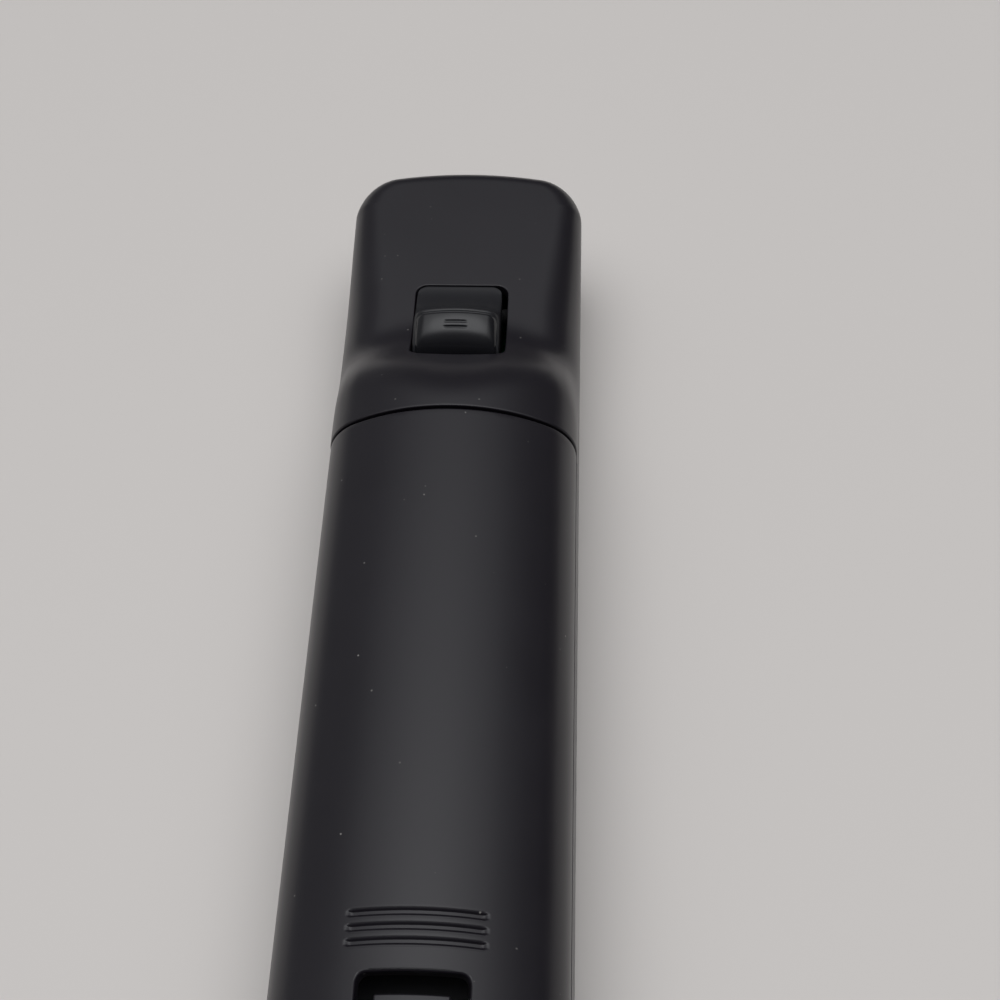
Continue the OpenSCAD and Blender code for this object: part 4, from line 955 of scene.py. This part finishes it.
# Cells: a sleeved can with a recessed foot, a crimped shoulder and a contact nub, one each way round
cell = {
    "x": 7.45, "z": 19.35, "front": 8.4, "back": -42.1, "shoulder": 48.9, "sleeve": range(3, 13), "profile": (
        (0.3, 0.2), (4.6, 0.2), (5.0, 0.0), (6.3, 0.0), (6.8, 0.15), (7.05, 0.4), (7.15, 0.8), (7.2, 1.3),
        (7.2, 24.0), (7.2, 47.6), (7.15, 48.2), (6.95, 48.7), (6.6, 48.95), (6.2, 48.95), (5.9, 48.8),
        (3.1, 48.8), (2.8, 48.95), (2.7, 49.3), (2.7, 50.1), (2.55, 50.35), (2.3, 50.5), (0.3, 50.5))}
for side, start, facing, way in ((-1, cell["front"], -1, "left"), (1, cell["back"], 1, "right")):
    node = "battery_cell_" + way
    profile = [(r, start + facing * h) for r, h in cell["profile"]]
    sleeve = sleeveMaterial(node + "_film", sized(cellSleeve), start + facing * cell["shoulder"], facing)
    piece = turnPiece(
        node + "_sleeved", [sleeve, tinPlate], profile, (side * cell["x"], 0, cell["z"]), smooth=30, axis="y",
        sides=64, mark=lambda i: 0 if i in cell["sleeve"] else 1)
    settle(piece, "case", node)

# Key domes: silicone cups on the board; each width is a share of the foot's radius
domeShape = {
    "board": 7.0, "foot": 0.5, "wall": 0.7, "tip": 0.2, "capWidth": 0.45, "edgeWidth": 0.5, "edgeDrop": 0.06,
    "bellWidth": 0.52, "bellFlare": 0.38, "bellDrop": 0.1, "bellShort": 0.15, "bellBend": (-0.2, 1.1),
    "rimWidth": 0.96, "rimDrop": 0.1, "mouthWidth": 0.72, "sideWidth": 0.62, "sideShare": 0.25,
    "roofWidth": 0.3}

# each sits under its own key: node, place, foot radius, top, and that key's joint and travel
domes = [
    ("main_dome", (0, 27.0), 4.48, 4.4, "main_button_press", 1.2),
    ("menu_domes", (10, 4.0), 3.4, 4.4, "minus_button_press", 0.6),
    ("menu_domes", (0, 4.0), 3.4, 4.4, "home_button_press", 0.6),
    ("menu_domes", (-10, 4.0), 3.4, 4.4, "plus_button_press", 0.6),
    ("number_domes", (0, -38.0), 4.0, 4.4, "one_button_press", 1.2),
    ("number_domes", (0, -50.0), 4.0, 4.4, "two_button_press", 1.2),
    ("power_dome", (11, 65.0), 3.0, 4.4, "power_button_press", 0.6),
    ("cross_domes", (0, 56.4), 2.4, 5.75, "cross_tilt_x", 0.56),
    ("cross_domes", (0, 41.6), 2.4, 5.75, "cross_tilt_x", 0.56),
    ("cross_domes", (7.4, 49.0), 2.4, 5.75, "cross_tilt_y", 0.56),
    ("cross_domes", (-7.4, 49.0), 2.4, 5.75, "cross_tilt_y", 0.56),
]


def domeProfile(foot, top, spec):
    # over the outside from the tip to the foot, then back up inside
    board, rim, roof = spec.board, spec.board - spec.foot, top + spec.wall
    outer = [(spec.tip, top), (foot * spec.capWidth, top), (foot * spec.edgeWidth, top + spec.edgeDrop)]
    for t in spread(0, 1, 6):
        fall = (rim - top - spec.bellShort) * smoothStep(*spec.bellBend, t)
        outer.append((foot * (spec.bellWidth + spec.bellFlare * t), top + spec.bellDrop + fall))
    outer += [(foot * spec.rimWidth, rim), (foot, rim + spec.rimDrop), (foot, board)]
    side = board - spec.sideShare * (board - top)
    inner = [(foot * spec.mouthWidth, board), (foot * spec.sideWidth, side), (foot * spec.roofWidth, roof)]
    return outer + inner + [(spec.tip, roof)]


for i, (node, (x, y), foot, top, joint, travel) in enumerate(domes):
    profile = domeProfile(foot, top, sized(domeShape))
    piece = turnPiece("key_dome_%d" % (i + 1), [siliconePad], profile, (x, y, 0), smooth=35)
    settle(piece, "case", node)
    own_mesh(piece)


# repeated and wound pieces, grown by node groups

def newGroup(name, sockets):
    group = bpy.data.node_groups.new(name, "GeometryNodeTree")
    group.interface.new_socket("Geometry", in_out="INPUT", socket_type="NodeSocketGeometry")
    for label, kind in sockets.items():
        group.interface.new_socket(label, in_out="INPUT", socket_type="NodeSocket" + kind)
    group.interface.new_socket("Geometry", in_out="OUTPUT", socket_type="NodeSocketGeometry")
    return group, addNode(group, "NodeGroupInput").outputs


def endGroup(group, geometry, material):
    real = addNode(group, "GeometryNodeRealizeInstances", {"Geometry": geometry})
    painted = addNode(group, "GeometryNodeSetMaterial", {"Geometry": real, "Material": material})
    addNode(group, "NodeGroupOutput", {"Geometry": painted})
    return group


def growPiece(name, points, group, values):
    mesh = bpy.data.meshes.new(name)
    mesh.from_pydata([Vector(p) * mm for p in points], [], [])
    obj = addObject(name, mesh)
    grow = obj.modifiers.new("grow", "NODES")
    grow.node_group = group
    for item in group.interface.items_tree:
        if item.in_out == "INPUT" and item.name in values:
            grow[item.identifier] = values[item.name]
    bakeModifiers(obj)
    return obj


coilShape = {"stepsPerTurn": 28, "wireSides": 12, "flatShare": 0.1}


def makeCoilGroup(spec):
    # a wire along a spiral whose first and last part of a turn lie flat
    group, given = newGroup("coil_spring", {
        "Turns": "Float", "Foot Radius": "Float", "Head Radius": "Float", "Length": "Float", "Wire": "Float",
        "Place": "Vector", "Turn": "Vector", "Material": "Material"})
    spiral = addNode(group, "GeometryNodeCurveSpiral", {
        "Resolution": spec.stepsPerTurn, "Rotations": given["Turns"], "Height": given["Length"],
        "Start Radius": given["Foot Radius"], "End Radius": given["Head Radius"]})
    along = addNode(group, "GeometryNodeSplineParameter")
    level = addNode(group, "ShaderNodeMapRange", {
        "From Min": spec.flatShare, "From Max": 1 - spec.flatShare, "Value": along})
    shift = addNode(group, "ShaderNodeMath", {0: level, 1: along}, operation="SUBTRACT")
    rise = addNode(group, "ShaderNodeMath", {0: shift, 1: given["Length"]}, operation="MULTIPLY")
    offset = addNode(group, "ShaderNodeCombineXYZ", {"Z": rise})
    path = addNode(group, "GeometryNodeSetPosition", {"Geometry": spiral, "Offset": offset})
    ring = addNode(group, "GeometryNodeCurvePrimitiveCircle", {
        "Resolution": spec.wireSides, "Radius": given["Wire"]})
    wire = addNode(group, "GeometryNodeCurveToMesh", {
        "Fill Caps": True, "Curve": path, "Profile Curve": ring})
    placed = addNode(group, "GeometryNodeTransform", {
        "Geometry": wire, "Translation": given["Place"], "Rotation": given["Turn"]})
    return endGroup(group, placed, given["Material"])


coilGroup = makeCoilGroup(sized(coilShape))

# Springs: node, turns, foot and head radius, length, wire radius, place of the foot, whether it lies along y
# instead of standing, and for one that is pressed its joint and stroke
springs = [
    ("trigger_spring", 6, 2.1, 2.1, 10.1, 0.25, (0, 40.5, 8.2), False, "trigger_pull", 1.0),
    ("latch_spring", 6, 1.0, 0.62, 8.5, 0.18, (0, -67.68, 19.6), False, "latch_press", 0.6),
    ("battery_springs", 2, 3.0, 2.2, 2.2, 0.2, (-7.45, 10.6, 19.35), True, None, 0),
    ("battery_springs", 2, 2.2, 3.0, 2.2, 0.2, (7.45, -42.1, 19.35), True, None, 0),
]
for i, (node, turns, foot, head, length, wire, place, lying, joint, stroke) in enumerate(springs):
    start = Vector(place) + Vector((0, -wire, 0) if lying else (0, 0, wire))
    piece = growPiece("coil_%d_%s" % (i + 1, node), [], coilGroup, {
        "Turns": float(turns), "Foot Radius": foot * mm, "Head Radius": head * mm, "Wire": wire * mm,
        "Length": (length - 2 * wire) * mm, "Place": start * mm, "Turn": (pi / 2 if lying else 0, 0, 0),
        "Material": springWire})
    shadeSmooth(piece, angle=60)
    settle(piece, "case", node)
    if joint:
        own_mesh(piece)

# Screws: a helical thread, a pan head and a cross recess; the seat of each lies at its point
screwShape = {
    "sides": 48, "stepsPerTurn": 6, "tipShare": 0.35, "tipLength": 1.0, "runOut": (0.9, 0.4),
    "ridgeHalf": 0.3, "headEase": (0.12, 0.1), "wallShare": 0.45, "crownTurn": 1.1, "flatShare": 0.92,
    "middle": 0.05, "slotFrom": 0.9, "slotSide": 0.06, "slotEnd": 0.1}
caseScrew = dict(
    screwShape, node="case_screws", length=5.5, head=2.1, headHeight=1.3, core=0.72, thread=0.18, pitch=0.75,
    recess=(1.25, 0.3, 0.7), seed=4, points=[(x, y, 11.8) for x in (-13, 13) for y in (14.4, -48.1)])
boardScrew = dict(
    screwShape, node="board_screws", length=3.2, head=1.3, headHeight=0.8, core=0.48, thread=0.12, pitch=0.5,
    recess=(0.8, 0.2, 0.42), seed=9, points=[(x, y, 8.2) for x in (-14, 14) for y in (36, -10)])


def makeScrewSource(spec):
    skin, rings = Skin(), []
    length, head, high = spec.length, spec.head, spec.headHeight
    sides = [s / spec.sides for s in range(spec.sides)]
    ways = [(cos(2 * pi * s), sin(2 * pi * s)) for s in sides]
    fadeFrom, fadeTo = [length - back for back in spec.runOut]
    for h in spread(0, length, int(length / spec.pitch * spec.stepsPerTurn)):
        # the tip tapers, and the thread runs out under the head
        taper = spec.tipShare + (1 - spec.tipShare) * smoothStep(0, spec.tipLength, h)
        runOut = 1 - smoothStep(fadeFrom, fadeTo, h)
        ring = []
        for s, (c, d) in zip(sides, ways):
            ridge = max(0.0, 1 - abs((h / spec.pitch - s) % 1.0 - 0.5) / spec.ridgeHalf) * runOut
            r = (spec.core + spec.thread * ridge) * taper
            ring.append((r * c, r * d, h - length))
        rings.append(skin.row(ring))
    (reach, half, depth), (inset, rise), wall = spec.recess, spec.headEase, spec.wallShare
    top = [(head - inset, 0.0), (head, rise), (head, high * wall)]
    top += [(head * cos(a), high * (wall + (1 - wall) * sin(a))) for a in spread(0, spec.crownTurn, 5)[1:]]
    top += [(r, high) for r in spread(top[-1][0] * spec.flatShare, spec.middle, 14)]
    for r, h in top:
        ring = []
        for x, y in [(r * c, r * d) for c, d in ways]:
            across = 1 - smoothStep(half - spec.slotSide, half + spec.slotSide, min(abs(x), abs(y)))
            slot = across * (1 - smoothStep(reach - spec.slotEnd, reach, r))
            ring.append((x, y, h - depth * slot * (h > high * spec.slotFrom)))
        rings.append(skin.row(ring))
    skin.tube(rings)
    return buildObject(spec.node + "_source", skin, [screwZinc])


def makeScrewGroup():
    # a screw on every point, each turned by its own random angle
    group, given = newGroup("screw_set", {"Screw": "Object", "Seed": "Int", "Material": "Material"})
    source = addNode(group, "GeometryNodeObjectInfo", {"Object": given["Screw"]})
    spin = addNode(group, "FunctionNodeRandomValue", {
        2: 0.0, 3: pi, "Seed": given["Seed"]}, data_type="FLOAT")
    turn = addNode(group, "ShaderNodeCombineXYZ", {"Z": spin.outputs[1]})
    copies = addNode(group, "GeometryNodeInstanceOnPoints", {
        "Points": given["Geometry"], "Instance": source.outputs["Geometry"],
        "Rotation": turn})
    return endGroup(group, copies, given["Material"])


screwGroup = makeScrewGroup()
for spec in (sized(caseScrew), sized(boardScrew)):
    source = makeScrewSource(spec)
    piece = growPiece(spec.node + "_threaded", spec.points, screwGroup, {
        "Screw": source, "Seed": spec.seed, "Material": screwZinc})
    bpy.data.objects.remove(source)
    shadeSmooth(piece, angle=30)
    settle(piece, "case", spec.node)
print("inner pieces made")

# The camera that took the photo, fitted to its outline: place in mm, angles in radians
photoCamera = {
    "focalPixels": 1750.29, "pixels": 1000, "sensorMm": 36, "clipFrom": 0.01,
    "place": (16.087, -137.677, 217.322), "pitch": 0.9298, "yaw": 0.0621, "roll": -0.0355}


def makeCamera(spec):
    yaw, pitch, roll = spec.yaw, spec.pitch, spec.roll
    ahead = Vector((-sin(yaw) * cos(pitch), cos(yaw) * cos(pitch), -sin(pitch)))
    level = Vector((cos(yaw), sin(yaw), 0))
    up = level.cross(ahead)
    right = cos(roll) * level + sin(roll) * up
    top = -sin(roll) * level + cos(roll) * up
    data = bpy.data.cameras.new("photo_camera")
    data.sensor_width, data.clip_start = spec.sensorMm, spec.clipFrom
    data.lens = spec.focalPixels * spec.sensorMm / spec.pixels
    scene.camera = addObject("photo_camera", data)
    turn = Matrix((right, top, -ahead)).transposed()
    scene.camera.matrix_world = Matrix.Translation(Vector(spec.place) * mm) @ turn.to_4x4()


makeCamera(sized(photoCamera))
scene.view_settings.view_transform = "Standard"

# Table: a plain pale laminate with a soft sheen
tableTop = {"half": 9000, "colour": "c6c2bf", "roughness": 0.55}
laminate, tree, shader, coords = newMaterial("pale_laminate", tableTop["roughness"])
setInputs(shader, {"Base Color": tableTop["colour"]})
skin, half = Skin(), tableTop["half"]
skin.cap(skin.row([(-half, -half, 0), (half, -half, 0), (half, half, 0), (-half, half, 0)]))
floor = buildObject("table_top", skin, [laminate])

# A soft dome, bright overhead and dim towards the horizon and behind the camera, a little lighter on the left
softDome = {
    "horizon": 0.04, "zenith": 1.05, "fadeFrom": 0.54, "fadeTo": 0.92, "leftLift": 0.2, "glow": 1.0,
    "glowFrom": 0.86, "glowTo": 0.97, "behindFrom": -0.42, "behindTo": -0.2, "behind": 0.12, "backdrop": 0.55,
    "tint": (0.97, 0.98, 1.0, 1)}


def makeDome(spec):
    world = bpy.data.worlds.new("soft_dome")
    scene.world = world
    world.use_nodes = True
    tree, soft = world.node_tree, {"interpolation_type": "SMOOTHSTEP"}
    ray = addNode(tree, "ShaderNodeTexCoord").outputs["Generated"]
    parts = addNode(tree, "ShaderNodeSeparateXYZ", {"Vector": ray}).outputs
    dome = addNode(tree, "ShaderNodeMapRange", {
        "From Min": spec.fadeFrom, "From Max": spec.fadeTo, "To Min": spec.horizon, "To Max": spec.zenith,
        "Value": parts["Z"]}, **soft)
    aside = addNode(tree, "ShaderNodeMath", {0: parts["X"], 1: 0.0}, operation="MINIMUM")
    lift = addNode(tree, "ShaderNodeMath", {0: aside, 1: -spec.leftLift, 2: dome}, operation="MULTIPLY_ADD")
    glow = addNode(tree, "ShaderNodeMapRange", {
        "From Min": spec.glowFrom, "From Max": spec.glowTo, "To Max": spec.glow, "Value": parts["Z"]}, **soft)
    total = addNode(tree, "ShaderNodeMath", {0: lift, 1: glow}, operation="ADD")
    behind = addNode(tree, "ShaderNodeMapRange", {
        "From Min": spec.behindFrom, "From Max": spec.behindTo, "To Min": spec.behind,
        "Value": parts["Y"]}, **soft)
    shaded = addNode(tree, "ShaderNodeMath", {0: total, 1: behind}, operation="MULTIPLY")
    # the camera itself sees a plain pale backdrop past the table's edge
    rays = addNode(tree, "ShaderNodeLightPath")
    seen = addNode(tree, "ShaderNodeMix", {
        0: rays.outputs["Is Camera Ray"], 2: shaded, 3: spec.backdrop}, data_type="FLOAT")
    setInputs(tree.nodes["Background"], {"Color": spec.tint, "Strength": seen})


makeDome(sized(softDome))

# One broad lamp overhead, facing down, that glossy surfaces don't mirror: height and width in metres
ceilingPanel = {"height": 1.3, "size": 1.6, "power": 9.3}
panel = bpy.data.lights.new("ceiling_panel", "AREA")
panel.shape, panel.size, panel.energy = "DISK", ceilingPanel["size"], ceilingPanel["power"]
lamp = addObject("ceiling_panel", panel)
lamp.location = (0, 0, ceilingPanel["height"])
lamp.visible_glossy = False
print("scene lit")
